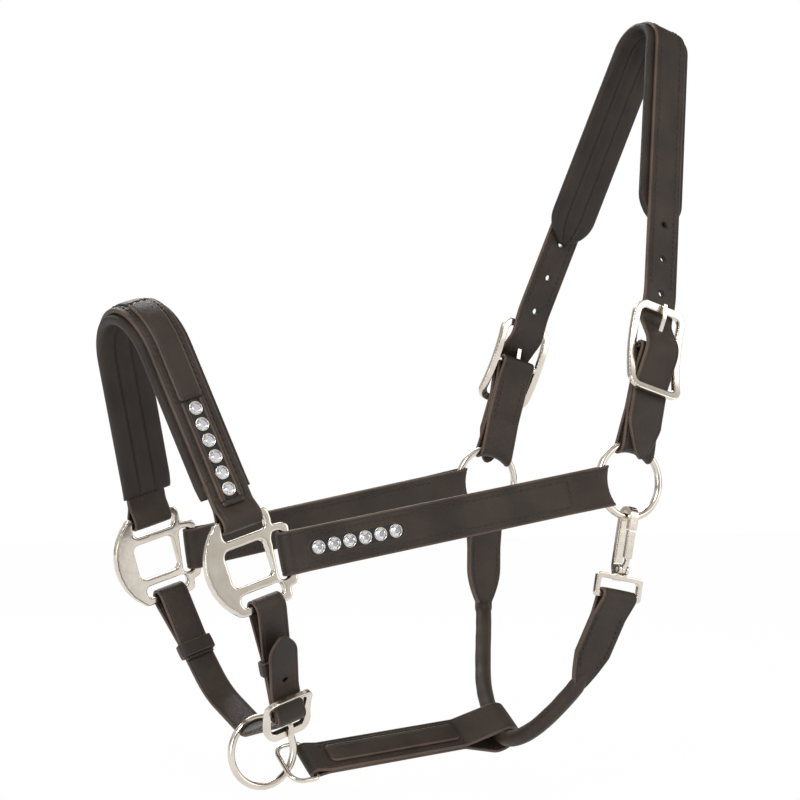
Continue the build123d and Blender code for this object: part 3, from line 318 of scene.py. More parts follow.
def pad_profile(half_width, depth):
    """Section of a padded lining: flat against the strap, its inner face in three puffed channels."""
    y_top = np.linspace(-half_width + 1.5, half_width - 1.5, 9)
    h_top = np.zeros(9)
    y_low = np.linspace(half_width - 0.6, -half_width + 0.6, 61)
    phase = (y_low / half_width + 1) / 2 * PAD_CHANNELS
    local = 2 * (phase - np.floor(phase)) - 1
    puff = np.sqrt(np.clip(1 - np.abs(local) ** 2.6, 0, 1))
    h_low = -depth * (0.62 + 0.38 * puff)
    side = np.linspace(-math.pi / 2, math.pi / 2, 9)[1:-1]
    middle = h_low[0] / 2
    y_right = half_width - 0.9 + PAD_ROUNDING * np.cos(side)
    h_right = middle + middle * np.sin(side)
    y = np.concatenate([y_top, y_right, y_low, -y_right])
    h = np.concatenate([h_top, h_right, h_low, h_right[::-1]])
    return y, h, np.zeros(len(y))


def blunt_point(distance, length):
    """Share of full width at a distance from a strap's tip: 1 - 0.84 (1 - distance / length) ** 2.2."""
    left = np.clip(1 - distance / length, 0, 1)
    return 1 - 0.84 * left ** 2.2


class Sheetway:
    """A strap's line in its own plane, with the directions that place it in the headcollar."""

    def __init__(self, origin, across, up, width_axis, line, at, closed=False):
        self.origin = np.asarray(origin, float)
        self.u = unit(across)
        self.v = unit(up)
        self.w = unit(width_axis)
        self.line = line
        self.at = at
        self.closed = closed
        self.tangent = tangents(line, closed)
        self.normal = np.stack([-self.tangent[:, 1], self.tangent[:, 0]], 1)

    def place(self, line, sideways):
        """Points of the plane, moved along the width direction, in the headcollar's space."""
        flat = line[..., 0:1] * self.u + line[..., 1:2] * self.v
        return self.origin + flat + np.asarray(sideways)[..., None] * self.w

    def rings(self, y, h, share=None, thin=None, sags=()):
        """Section carried along the line: place = line + normal * height + width * across."""
        share = np.ones(len(self.line)) if share is None else share
        thin = np.ones(len(self.line)) if thin is None else thin
        line = self.line[:, None, :] + self.normal[:, None, :] * (h[None, :, None] * thin[:, None, None])
        sideways = share[:, None] * y[None, :]
        for at, direction, radius, fade in sags:
            away = (line[..., 0] - at) * direction
            share_here = np.clip(1 - away / fade, 0, 1) ** 1.5
            drop = radius - np.sqrt(np.maximum(radius ** 2 - sideways ** 2, 0))
            line = line.copy()
            line[..., 0] -= direction * drop * share_here
        return self.place(line, sideways)

    def straight(self, length):
        """The straight middle line of a folded strap, between its two bars, in the same plane."""
        line, at = np.array([[0.0, 0.0], [length, 0.0]]), np.array([0, length])
        return Sheetway(self.origin, self.u, self.v, self.w, line, at)

    def points_at(self, distance, height, sideways):
        """Places, directions and outward normals at distances along the line."""
        total = self.at[-1]
        line = np.concatenate([self.line, self.line[:1]]) if self.closed else self.line
        normal = np.concatenate([self.normal, self.normal[:1]]) if self.closed else self.normal
        steps = np.linspace(0, total, len(line))
        flat = np.stack([np.interp(distance, steps, line[:, k]) for k in (0, 1)], 1)
        out = np.stack([np.interp(distance, steps, normal[:, k]) for k in (0, 1)], 1)
        place = self.place(flat + out * height, np.broadcast_to(sideways, distance.shape))
        ahead = np.stack([out[:, 1], -out[:, 0]], 1)
        return place, ahead @ np.stack([self.u, self.v]), out @ np.stack([self.u, self.v])


def strap_object(name, way, y, h, burnish_and_sheen, **shape):
    """Strap from its section and its line, with UVs in metres along and round it."""
    rings = way.rings(y, h, **shape)
    steps = np.hypot(np.diff(np.append(y, y[0])), np.diff(np.append(h, h[0])))
    around = np.concatenate([[0], np.cumsum(steps)])
    return sweep_surface(name, rings, way.at, around, burnish_and_sheen, way.closed)


# ------------------------------------------------------------------ stitches
def stitch_shape(sides=6, bands=4):
    """Closed spindle along X from -1 to 1: radius follows (1 - x ** 4) ** 0.5."""
    x = np.cos(np.linspace(0, math.pi, bands + 2))[1:-1]
    radius = np.sqrt(np.clip(1 - x ** 4, 0, 1))
    angle = np.linspace(0, 2 * math.pi, sides, endpoint=False)
    level, size = x[:, None], radius[:, None]
    rings = np.stack(np.broadcast_arrays(level, size * np.cos(angle), size * np.sin(angle)), -1)
    points = np.concatenate([rings.reshape(-1, 3), [[1, 0, 0], [-1, 0, 0]]])
    quads, _, _ = grid_faces(bands, sides, False)
    around = np.arange(sides)
    after = (around + 1) % sides
    last = (bands - 1) * sides
    top = np.stack([np.full(sides, bands * sides), around, after], 1)
    low = np.stack([np.full(sides, bands * sides + 1), after + last, around + last], 1)
    return points, outward(points, quads), outward_fan(points, top), outward_fan(points, low)


def outward_fan(points, fan):
    """A fan of triangles, turned over if it faces the origin."""
    a, b, c = points[fan[0]]
    facing = np.cross(b - a, c - a) @ (a + b + c)
    return fan if facing > 0 else fan[:, ::-1]


def carried(points, place, first, second, third):
    """Points of a small shape, carried to a place and turned to three directions."""
    return place + (points[:, 0:1] * first + points[:, 1:2] * second + points[:, 2:3] * third)


def stitch_rows(name, rows, length=3.0, thick=0.5):
    """One object of many stitches: every row is a set of places, directions and normals."""
    place = np.concatenate([row[0] for row in rows])
    ahead = np.concatenate([row[1] for row in rows])
    out = np.concatenate([row[2] for row in rows])
    side = np.cross(out, ahead)
    cosine, sine = turn(STITCH_SLANT)
    ahead, side = ahead * cosine + side * sine, side * cosine - ahead * sine
    points, quads, top, low = stitch_shape()
    local = points * [length / 2, thick, thick * 0.75]
    every = carried(local, place[:, None], ahead[:, None], side[:, None], out[:, None])
    shift = np.arange(len(place))[:, None, None] * len(points)
    faces = (quads[None] + shift).reshape(-1, 4).tolist()
    faces += (np.concatenate([top, low])[None] + shift).reshape(-1, 3).tolist()
    item = new_object(name, every.reshape(-1, 3), faces)
    return dress(item, thread_material(), "strap_leather", ROOT)


def row_along(way, start, end, height, sideways, pitch=4.1):
    """One straight row of stitches along a strap's line."""
    count = max(2, int(abs(end - start) / pitch))
    at = start + (np.arange(count) + 0.5) * (end - start) / count
    return way.points_at(at, height, sideways)


def row_across(way, at, height, low, high, pitch=3.4):
    """One row of stitches across a strap."""
    count = max(2, int((high - low) / pitch))
    side = low + (np.arange(count) + 0.5) * (high - low) / count
    place, _, out = way.points_at(np.full(count, float(at)), height, side)
    return place, np.broadcast_to(way.w, place.shape).copy(), out


def flip_row(row):
    """The same row seen from the strap's other face."""
    return row[0], row[1], -row[2]


def both_faces(way, start, end, height, inset, pitch=4.1):
    """Rows of stitches along a strap, near both of its edges and on both of its faces."""
    rows = []
    for side in (-inset, inset):
        rows.append(row_along(way, start, end, height, side, pitch))
        rows.append(flip_row(row_along(way, start, end, -height, side, pitch)))
    return rows


# ------------------------------------------------------------------ materials
def nodes_of(name):
    """A new material, its node tree and its shader."""
    material = bpy.data.materials.new(name)
    material.use_nodes = True
    tree = material.node_tree
    return material, tree, tree.nodes["Principled BSDF"]


def add(tree, kind, **values):
    """A new node with some of its settings."""
    node = tree.nodes.new(kind)
    for key, value in values.items():
        setattr(node, key, value)
    return node


def noise(tree, where, scale, detail=2):
    """Cloud pattern at a scale; detail is how many finer layers it has."""
    node = add(tree, "ShaderNodeTexNoise")
    node.inputs["Scale"].default_value = scale
    node.inputs["Detail"].default_value = detail
    tree.links.new(where, node.inputs["Vector"])
    return node.outputs["Fac"]


def tones(tree, pattern, dark, light, low=0.0, high=1.0):
    """Colour that goes from dark to light as a pattern goes from low to high."""
    node = add(tree, "ShaderNodeValToRGB")
    first, second = node.color_ramp.elements
    first.position, first.color = low, (*dark, 1)
    second.position, second.color = high, (*light, 1)
    tree.links.new(pattern, node.inputs["Fac"])
    return node.outputs["Color"]


def emboss(tree, shader, pattern, strength, distance):
    """Bump that follows a pattern, whose full height is distance metres."""
    node = add(tree, "ShaderNodeBump")
    node.inputs["Strength"].default_value = strength
    node.inputs["Distance"].default_value = distance
    tree.links.new(pattern, node.inputs["Height"])
    tree.links.new(node.outputs[0], shader.inputs["Normal"])


def polish(tree, shader, pattern, least, most):
    """Roughness that goes from least to most with a pattern."""
    node = add(tree, "ShaderNodeMapRange")
    node.inputs["To Min"].default_value = least
    node.inputs["To Max"].default_value = most
    tree.links.new(pattern, node.inputs["Value"])
    tree.links.new(node.outputs[0], shader.inputs["Roughness"])


def once(build):
    """Keeps a material by its name, so that every piece of one finish shares it."""
    def find(name, *values, **more):
        """The material of that name, built when it isn't there yet."""
        return bpy.data.materials.get(name) or build(name, *values, **more)
    return find


@once
def leather_material(name, colour, edge_burnish_and_sheen_colour, roughness, grain, bump, use_edge=True):
    """Leather: two scales of pores as bump, cloudy colour, lighter edges that are partly burnished and partly
    a painted highlight.
    """
    material, tree, shader = nodes_of(name)
    links = tree.links
    where = add(tree, "ShaderNodeTexCoord").outputs["Object"]
    pores = add(tree, "ShaderNodeTexVoronoi", feature="DISTANCE_TO_EDGE")
    pores.inputs["Scale"].default_value = grain
    links.new(where, pores.inputs["Vector"])
    fine = noise(tree, where, grain * 1.9, 6)
    cloud = noise(tree, where, 34, 5)
    crack = add(tree, "ShaderNodeMapRange")
    crack.inputs["From Max"].default_value = 0.16
    links.new(pores.outputs["Distance"], crack.inputs["Value"])
    both = add(tree, "ShaderNodeMath", operation="MULTIPLY_ADD")
    both.inputs[1].default_value = 0.55
    links.new(crack.outputs[0], both.inputs[0])
    links.new(fine, both.inputs[2])
    emboss(tree, shader, both.outputs[0], bump, 0.0004)
    result = tones(tree, cloud, [c * 0.66 for c in colour], [min(1, c * 1.42) for c in colour], 0.32, 0.7)
    # Lighter colour on the rounded edges: partly the burnished edge, partly a painted highlight.
    if use_edge:
        rim = add(tree, "ShaderNodeAttribute", attribute_name="edge")
        burnish_and_sheen_share = add(tree, "ShaderNodeMath", operation="MULTIPLY", use_clamp=True)
        spread = add(tree, "ShaderNodeMapRange")
        spread.inputs["From Min"].default_value, spread.inputs["From Max"].default_value = 0.25, 0.7
        spread.inputs["To Min"].default_value = 0.35
        links.new(cloud, spread.inputs["Value"])
        links.new(rim.outputs["Fac"], burnish_and_sheen_share.inputs[0])
        links.new(spread.outputs[0], burnish_and_sheen_share.inputs[1])
        mix = add(tree, "ShaderNodeMix", data_type="RGBA")
        links.new(burnish_and_sheen_share.outputs[0], mix.inputs["Factor"])
        links.new(result, mix.inputs["A"])
        mix.inputs["B"].default_value = (*edge_burnish_and_sheen_colour, 1)
        result = mix.outputs["Result"]
    links.new(result, shader.inputs["Base Color"])
    polish(tree, shader, cloud, roughness - 0.08, roughness + 0.12)
    shader.inputs["Specular IOR Level"].default_value = 0.34
    return material


@once
def plain_material(name, scale, dark, light, bump=None, **finish):
    """One cloud pattern for the colour, a bump of strength and distance if given, and fixed inputs."""
    material, tree, shader = nodes_of(name)
    pattern = noise(tree, add(tree, "ShaderNodeTexCoord").outputs["Object"], scale)
    tree.links.new(tones(tree, pattern, dark, light), shader.inputs["Base Color"])
    if bump:
        emboss(tree, shader, pattern, *bump)
    for key, value in finish.items():
        shader.inputs[key.replace("_", " ")].default_value = value
    return material


def thread_material():
    """Waxed thread: near black, with a fine twist along the object."""
    return plain_material("waxed_thread", 1400, (0.003, 0.0025, 0.002), (0.035, 0.028, 0.022),
                          bump=(0.4, 0.0003), Roughness=0.55)


def crystal_material():
    """Cut crystal: clear, high index, with a faint cloud so that no two stones are the same."""
    return plain_material("cut_crystal", 300, (0.55, 0.6, 0.7), (1.0, 0.99, 0.97),
                          Metallic=0.55, Roughness=0.04, IOR=1.9, Transmission_Weight=0.5)


def black_backing_and_hole_shade():
    """Black ribbed strip behind the stones; also the painted shade in the punched holes."""
    return plain_material("black_strip", 900, (0.002, 0.002, 0.002), (0.012, 0.012, 0.013), Roughness=0.6)


@once
def metal_material(name):
    """Polished nickel plate: faint swirls in roughness, soft casting waves, warm tint."""
    material, tree, shader = nodes_of(name)
    where = add(tree, "ShaderNodeTexCoord").outputs["Object"]
    waves = noise(tree, where, 90, 2)
    emboss(tree, shader, waves, 0.16, 0.0006)
    polish(tree, shader, noise(tree, where, 420, 8), 0.07, 0.25)
    tree.links.new(tones(tree, waves, (0.60, 0.53, 0.45), (0.82, 0.77, 0.70)), shader.inputs["Base Color"])
    shader.inputs["Metallic"].default_value = 1.0
    return material


def nickel():
    """The metal of every ring, buckle and casting."""
    return metal_material("polished_nickel")


def look():
    """The settings that the panel shows."""
    return bpy.context.scene.headcollar


def half_strap():
    """Half the width of the crown, cheek and nose straps, in millimetres."""
    return look().strap_width * MM / 2


def strap_leather():
    """Leather of every strap, with lighter edges that are partly burnished and partly a painted highlight."""
    kit = look()
    return leather_material("bridle_leather", kit.leather_colour, kit.edge_burnish_and_sheen_colour, kit.leather_roughness,
                            1150, 0.32)


def lining_leather():
    """Softer leather of the padded linings."""
    kit = look()
    return leather_material("lining_leather", kit.lining_colour, kit.edge_burnish_and_sheen_colour, 0.5,
                            820, 0.45, use_edge=False)


def roll_leather():
    """Leather of the rolled throat strap."""
    kit = look()
    return leather_material("roll_leather", kit.roll_colour, kit.edge_burnish_and_sheen_colour, 0.42,
                            1000, 0.35, use_edge=False)


def dress(item, material, slot, body, *nodes):
    """Gives a piece its material, its body and the CAD nodes it stands for; the slot is not used."""
    item.data.materials.append(material)
    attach(item, body)
    if nodes:
        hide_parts(*nodes)
    return item


# ------------------------------------------------------------------ noseband
NOSE_LEAN = 15.0
NOSE_RISE = 131.0
TOP_BAR = SQUARE + SQUARE_UP * 25.2 - NOSE_ORIGIN
TOP_BAR = (float(TOP_BAR[1]), float(TOP_BAR @ UP_NOSE))
LOW_BAR = SQUARE - SQUARE_UP * 26.2 - NOSE_ORIGIN
LOW_BAR = (float(LOW_BAR[1]), float(LOW_BAR @ UP_NOSE))
STRIP_INSET = 9.0
STRIP_HEIGHT = 1.9
INSET_REACH = 12.0
SLOT_END = 5.6


def nose_place(place):
    """Point of the noseband's plane, in the headcollar's space."""
    return NOSE_ORIGIN + Y * place[0] + UP_NOSE * place[1]


def nose_direction(direction):
    """Direction in the noseband's plane, in the headcollar's space."""
    return Y * direction[0] + UP_NOSE * direction[1]


def arch_corner(start, lean, peak):
    """Corner above the middle and bend radius of an arch with leaning sides and a given peak."""
    cosine, sine = turn(lean)
    corner = start[1] + abs(start[0]) * cosine / sine
    return corner, (corner - peak) / (1 / sine - 1)


def nose_way(inset, step=1.5):
    """The noseband's middle line between two points that far from the squares' top bars."""
    corner, radius = arch_corner(TOP_BAR, NOSE_LEAN, TOP_BAR[1] + NOSE_RISE)
    cosine, sine = turn(NOSE_LEAN)
    near = (TOP_BAR[0] + sine * inset, TOP_BAR[1] + cosine * inset)
    line = trail([near, (0, corner), (-near[0], near[1])], [radius])
    line, at = even(line, step)
    return Sheetway(NOSE_ORIGIN, Y, UP_NOSE, ACROSS_NOSE, line, at)


def nose_side():
    """The noseband's near end at the square's top bar, with its directions along and outwards."""
    cosine, sine = turn(NOSE_LEAN)
    return nose_place(TOP_BAR), Y * sine + UP_NOSE * cosine, -Y * cosine + UP_NOSE * sine


def nose_fold(name, side):
    """Folded end of the noseband round a square's top bar, as a short loop of one layer."""
    line, at = belt(24.0, SQUARE_BORE + 2 * (LAYER - NOSE_T / 2), 1.2, NOSE_T / 2, 9.0, 6.0, 0.9)
    turned = MIRROR if side > 0 else np.ones(3)
    origin, along, outer = (part * turned for part in nose_side())
    way = Sheetway(origin, along, outer, ACROSS_NOSE, line, at, closed=True)
    return strap_object(name, way, *strap_profile(half_strap(), NOSE_T / 4))


class HEADCOLLAR_OT_noseband(Operator):
    """Noseband: strap, padded lining with three channels, raised strip, folds and stitching"""

    bl_idname = "headcollar.noseband"
    bl_label = "Noseband"

    def execute(self, context):
        half = NOSE_T / 2
        width = half_strap()
        way = nose_way(13.0)
        strap = strap_object("noseband_leather", way, *strap_profile(width, half, crease=1.6))
        dress(strap, strap_leather(), "strap_leather", ROOT, "noseband_strap")
        for side, name in ((-1, "near"), (1, "far")):
            dress(nose_fold(f"{name}_noseband_fold", side), strap_leather(), "strap_leather", ROOT)
        pad_way = nose_way(17.0)
        ends = np.minimum(pad_way.at, pad_way.at[-1] - pad_way.at)
        thin = 0.45 + 0.55 * np.clip(ends / 9, 0, 1) ** 0.5
        y, h, burnish_and_sheen = pad_profile(15.9, 6.4)
        pad_shape = Sheetway(pad_way.origin, pad_way.u, pad_way.v, pad_way.w,
                             pad_way.line - pad_way.normal * half, pad_way.at)
        pad = strap_object("noseband_lining", pad_shape, y, h, burnish_and_sheen, thin=thin)
        dress(pad, lining_leather(), "padding_leather", ROOT, "noseband_padding")
        self.raised_strip(half)
        return {"FINISHED"}

    def raised_strip(self, half):
        """Strip in four stretches, with an inset in the middle and side walls along the stones' slots."""
        strip_way = nose_way(STRIP_INSET, 1.0)
        total = strip_way.at[-1]
        middle = total / 2
        gap = 2.0
        slots = crystal_slots(total)
        rows = []
        parts = [(0, slots[0][0]), (slots[0][1], middle - INSET_REACH),
                 (middle + INSET_REACH, slots[1][0]), (slots[1][1], total)]
        for number, (start, end) in enumerate(parts):
            piece = self.strip(strip_way, start, end, f"noseband_strip_{number}", 7.5, STRIP_HEIGHT, half)
            nodes = ("noseband_overlay",) if number == 0 else ()
            dress(piece, strap_leather(), "strap_leather", ROOT, *nodes)
        low, high = middle - INSET_REACH + gap, middle + INSET_REACH - gap
        inset = self.strip(strip_way, low, high, "noseband_inset", 6.6, 1.5, half)
        dress(inset, strap_leather(), "strap_leather", ROOT)
        for start, end in slots:
            for side in (-1, 1):
                label = f"noseband_slot_wall_{side}_{start:.0f}"
                wall = self.strip(strip_way, start - 0.5, end + 0.5, label, 1.7, STRIP_HEIGHT, half,
                                  offset=side * 5.9)
                dress(wall, strap_leather(), "strap_leather", ROOT)
        for side in (-1, 1):
            rows.append(row_along(strip_way, 2, total - 2, half + 0.1, side * 9.0))
            rows.append(flip_row(row_along(strip_way, 4, total - 4, -half - 3.7, side * 5.3)))
            rows.append(row_across(strip_way, middle + side * INSET_REACH, half + 2.0, -6.5, 6.5))
        for start, end in slots:
            rows.append(row_across(strip_way, start - 2.2, half + 1.9, -5, 5))
            rows.append(row_across(strip_way, end + 2.2, half + 1.9, -5, 5))
        stitch_rows("noseband_stitches", rows)

    def strip(self, way, start, end, name, width, height, half, offset=0.0):
        """A stretch of the raised strip: the same line between two distances along it."""
        chosen = (way.at >= start) & (way.at <= end)
        line, at = way.line[chosen], way.at[chosen]
        part = Sheetway(way.origin + way.w * offset, way.u, way.v, way.w, line, at)
        groove = 0.0 if width < 3 else 0.22
        y, h, burnish_and_sheen = strap_profile(width, (height + 0.6) / 2, groove=groove, crease=1.5, crown=0.25)
        ends = np.minimum(at - at[0], at[-1] - at)
        share = 0.86 + 0.14 * np.clip(ends / 2.0, 0, 1) ** 0.5
        return strap_object(name, part, y, h + half + height / 2 - 0.3, burnish_and_sheen, share=share)


def crystal_slots(total):
    """Where the stones' slots begin and end along the raised strip, near side then far side."""
    kit = look()
    start = kit.nose_stone_start * MM - STRIP_INSET
    length = (kit.stone_count - 1) * kit.stone_pitch * MM
    near = (start - SLOT_END, start + length + SLOT_END)
    return [near, (total - near[1], total - near[0])]


# ------------------------------------------------------------------ cheek straps
def cheek_axes():
    """Near cheek strap's start, direction, outward face, width direction and length."""
    rise = unit(-RINGS_TO_SQUARE * np.array([1.0, 0.0, 1.0]))
    flat = unit(rise - SIDE_OUT * (rise @ SIDE_OUT))
    start = SQUARE + flat * 23.6
    end = NEAR_RING - flat * RING_R
    along = unit(end - start)
    across = unit(np.cross(along, SIDE_OUT))
    out = unit(np.cross(across, along))
    if out[1] > 0:
        out = -out
    return start, along, out, across, float(np.linalg.norm(end - start))


class HEADCOLLAR_OT_cheeks(Operator):
    """Cheek straps: two sewn layers folded round the square and the side ring"""

    bl_idname = "headcollar.cheeks"
    bl_label = "Cheek straps"

    def execute(self, context):
        start, along, out, across, length = cheek_axes()
        width = half_strap()
        line, at = belt(length, SQUARE_BORE, RING_BORE, LAYER, 11, 24)
        for side, name in ((1, "near"), (-1, "far")):
            turned = np.ones(3) if side > 0 else MIRROR
            way = Sheetway(start * turned, along * turned, out * turned, across * turned,
                           line, at, closed=True)
            sags = ((length, -1, RING_R, 20.0),)
            strap = strap_object(f"{name}_cheek", way, *strap_profile(width, LAYER / 2 + 0.06), sags=sags)
            dress(strap, strap_leather(), "strap_leather", ROOT, f"{name}_cheek_strap")
            flat = way.straight(length)
            rows = both_faces(flat, 9, length - 24, LAYER + 0.05, width - STITCH_INSET)
            rows.append(row_across(flat, length - 23, LAYER + 0.3, -width + 5, width - 5))
            stitch_rows(f"{name}_cheek_stitches", rows)
        return {"FINISHED"}


# ------------------------------------------------------------------ stones
def turned_profile(profile, sides, shift=0.0):
    """A profile of radii and heights turned round; each level may be turned a little further."""
    rings = []
    for number, (radius, height) in enumerate(profile):
        angle = np.linspace(0, 2 * math.pi, sides, endpoint=False) + (number % 2) * shift
        rings.append(np.stack([np.cos(angle) * radius, np.sin(angle) * radius, np.full(sides, height)], 1))
    return np.concatenate(rings)


def on_plane(points, plane, places):
    """A small shape carried to each of the places along a plane's first direction."""
    origin, along, across, out = plane
    return carried(points, origin + places[:, None, None] * along, along, across, out)


def stone_row(name, plane, body, node):
    """One object with all the stones of a slot, flat shaded so that every facet shows.

    A stone is five rings of twelve points, from below its girdle to its table, each turned half a side.
    """
    kit = look()
    places = np.arange(kit.stone_count) * kit.stone_pitch * MM
    sides = 12
    levels = [(0.82, -0.1), (1.0, 0.55), (0.93, 1.0), (0.7, 1.9), (0.46, 2.6)]
    points = turned_profile([(3.7 * size, lift) for size, lift in levels], sides, math.pi / sides)
    faces = outward(points, grid_faces(len(levels), sides, False)[0])
    every = []
    for shift in range(0, kit.stone_count * len(points), len(points)):
        every += (faces + shift).tolist()
        every.append([shift + len(points) - sides + k for k in range(sides)])
        every.append([shift + sides - 1 - k for k in range(sides)])
    item = new_object(name, on_plane(points, plane, places).reshape(-1, 3), every)
    item.data.shade_flat()
    dress(item, crystal_material(), "crystal", body, node)
    return places


def repeated_rings(name, points, world, rows, sides):
    """One object of many small closed rings, each the same turned profile."""
    faces = outward(points, grid_faces(rows, sides, True)[0])
    every = (faces[None] + np.arange(len(world))[:, None, None] * len(points)).reshape(-1, 4)
    return new_object(name, world.reshape(-1, 3), every)


def claw_cups(name, plane, places):
    """Thin metal cups with a rolled rim under the stones: a turned profile carried round each."""
    profile = [(3.2, 0.0), (4.05, 0.0), (4.2, 0.5), (4.05, 1.05), (3.75, 1.1), (3.55, 0.6)]
    points = turned_profile(profile, 24)
    item = repeated_rings(name, points, on_plane(points, plane, places), len(profile), 24)
    dress(item, nickel(), "metal", ROOT)


class HEADCOLLAR_OT_stones(Operator):
    """Stones: cut crystals in metal cups, and the black strips behind them"""

    bl_idname = "headcollar.stones"
    bl_label = "Stones"

    def execute(self, context):
        start, along, out, across, _ = cheek_axes()
        nose_start, nose_along, nose_out = nose_side()
        kit = look()
        cheek = (start + along * kit.cheek_stone_start * MM + out * 1.7, along, across, out)
        first = nose_start + nose_along * kit.nose_stone_start * MM + nose_out * 2.5
        nose = (first, nose_along, ACROSS_NOSE, nose_out)
        for name, plane in (("cheek", cheek), ("nose", nose)):
            for side in ("near", "far"):
                mirrored = np.ones(3) if side == "near" else MIRROR
                here = tuple(part * mirrored for part in plane)
                places = stone_row(f"{side}_{name}_stones", here, ROOT, f"{side}_{name}_crystals")
                claw_cups(f"{side}_{name}_cups", here, places)
                strip = frame["nodes"][f"{side}_{name}_backing"]
                strip.data.materials.clear()
                strip.data.materials.append(black_backing_and_hole_shade())
                if name == "cheek":
                    self.slot_frame(f"{side}_cheek_slot", here, places)
        return {"FINISHED"}

    def slot_frame(self, name, plane, places):
        """Black slot let into the cheek strap, with a narrow raised lip of leather round it."""
        sides = 48
        reach = (places[-1] - places[0]) / 2 + 1.4
        rim = turned_profile([(1.0, 0.0)], sides)[:, 0]
        stretch = np.where(rim > 0, reach, -reach) + places.mean()

        def slotted(profile):
            """A turned profile with its two halves drawn apart, so that it runs round the slot."""
            points = turned_profile(profile, sides)
            points[:, 0] += np.tile(stretch, len(profile))
            return on_plane(points, plane, np.zeros(1))[0]

        world = slotted([(4.1, 0.35), (4.4, 0.92), (4.75, 1.02), (5.3, 0.86), (5.6, 0.5)])
        faces = outward(world, grid_faces(5, sides, True)[0])
        # A faint lighter edge tint over the whole lip (0.15): partly burnish, partly a painted highlight.
        lip = new_object(f"{name}_lip", world, faces, edge=np.full(len(world), 0.15))
        dress(lip, strap_leather(), "strap_leather", ROOT)
        world = slotted([(4.6, 0.2), (4.6, 0.85)])
        faces = outward(world, grid_faces(2, sides, False)[0])
        caps = [list(range(sides - 1, -1, -1)), list(range(sides, 2 * sides))]
        floor = new_object(f"{name}_bed", world, faces.tolist() + caps)
        recalculate(floor.data)
        floor.data.shade_flat()
        dress(floor, black_backing_and_hole_shade(), "backing", ROOT)


# ------------------------------------------------------------------ crown
CHAPE_COS, CHAPE_SIN = turn(2.0)
CHAPE_START = (-HALF_RING_SPAN + SIDE_SIN * RING_R, RING_R * SIDE_COS)
CHAPE_LENGTH = 85.0 - RING_R
CROWN_LEAN = 15.6
CROWN_PEAK = 321.0
LINING_END = 172.0
HOLE_SIDES = 20


def by_bar(along, out):
    """Place in the head plane: along the near chape from the buckle's bar, and outwards."""
    reach = CHAPE_LENGTH + along
    across = CHAPE_START[0] + CHAPE_SIN * reach - CHAPE_COS * out
    return across, CHAPE_START[1] + CHAPE_COS * reach + CHAPE_SIN * out


def stack(length, rim, bow, layer, strap):
    """How a buckle sits: its tip, and the billet's height on the chape, over the bar and behind."""
    half = BUCKLE_T / 2
    inner = length / 2 - rim
    inner_bow = bow * (inner / (length / 2)) ** 2
    tip = math.asin((layer + 0.6 + strap + half - inner_bow) / inner)
    lowest = min(inner_bow - inner * math.sin(tip), bow - length / 2 * math.sin(tip)) - half
    return tip, layer + 0.3 + strap / 2, BAR_BORE / 2 + layer + 0.3 + strap / 2, lowest - 0.3 - strap / 2


def crown_way(step=1.6):
    """The crown strap's middle line from the near tip over the poll to the far tip."""
    _, on_chape, on_bar, behind = stack(60.0, 5.0, 4.5, LAYER, CROWN_T)
    over_ring = RING_BORE / 2 + LAYER + 0.3 + CROWN_T / 2
    local = [(-71.0, over_ring + 0.9), (-CHAPE_LENGTH + 16, on_chape + 1.1), (-23.5, on_chape),
             (3, on_bar + 3.2), (20, behind), (36.0, behind)]
    near = [by_bar(*place) for place in local]
    corner, radius = arch_corner(near[-1], CROWN_LEAN, CROWN_PEAK)
    far = [(-place[0], place[1]) for place in reversed(near)]
    radii = [60, 16, 14, 10, 50, radius, 50, 10, 14, 16, 60]
    line, at = even(trail(near + [(0, corner)] + far, radii), step)
    return Sheetway(RINGS_MIDDLE, Y, UP_HEAD, ACROSS_HEAD, line, at), near[-1], corner, radius


def hole_shade_rims(name, places, across, ahead, out, radius):
    """Pressed rims of punched holes, in black as painted shade on the hole's wall and rim: a small profile
    turned round each hole.
    """
    profile = [(1.32, -0.25), (1.26, 0.08), (1.1, 0.14), (1.0, 0.02), (0.98, -0.5), (1.2, -0.6)]
    points = turned_profile([(size * radius, height) for size, height in profile], HOLE_SIDES)
    world = carried(points, places[:, None], ahead[:, None], across, out[:, None])
    faces = outward(world[0], grid_faces(len(profile), HOLE_SIDES, True)[0])
    every = (faces[None] + np.arange(len(places))[:, None, None] * len(points)).reshape(-1, 4)
    return dress(new_object(name, world.reshape(-1, 3), every), black_backing_and_hole_shade(), "backing", ROOT)


def punch(item, places, across, ahead, out, radius):
    """Cuts round holes right through a strap: a prism at each place is taken away from it."""
    block = turned_profile([(radius, -5.0), (radius, 5.0)], HOLE_SIDES)
    world = carried(block, places[:, None], ahead[:, None], across, out[:, None])
    faces, every = grid_faces(2, HOLE_SIDES, False)[0], []
    for number, prism in enumerate(world):
        first = number * len(block)
        every += (outward(prism, faces) + first).tolist()
        every.append(list(range(first + HOLE_SIDES - 1, first - 1, -1)))
        every.append(list(range(first + HOLE_SIDES, first + 2 * HOLE_SIDES)))
    cutter = new_object("punch", world.reshape(-1, 3), every)
    recalculate(cutter.data)
    cut = item.modifiers.new("punch", "BOOLEAN")
    cut.object = cutter
    cut.solver = "EXACT"
    view = bpy.context.evaluated_depsgraph_get()
    mesh = bpy.data.meshes.new_from_object(item.evaluated_get(view), depsgraph=view)
    item.modifiers.clear()
    item.data = mesh
    bpy.data.objects.remove(cutter)


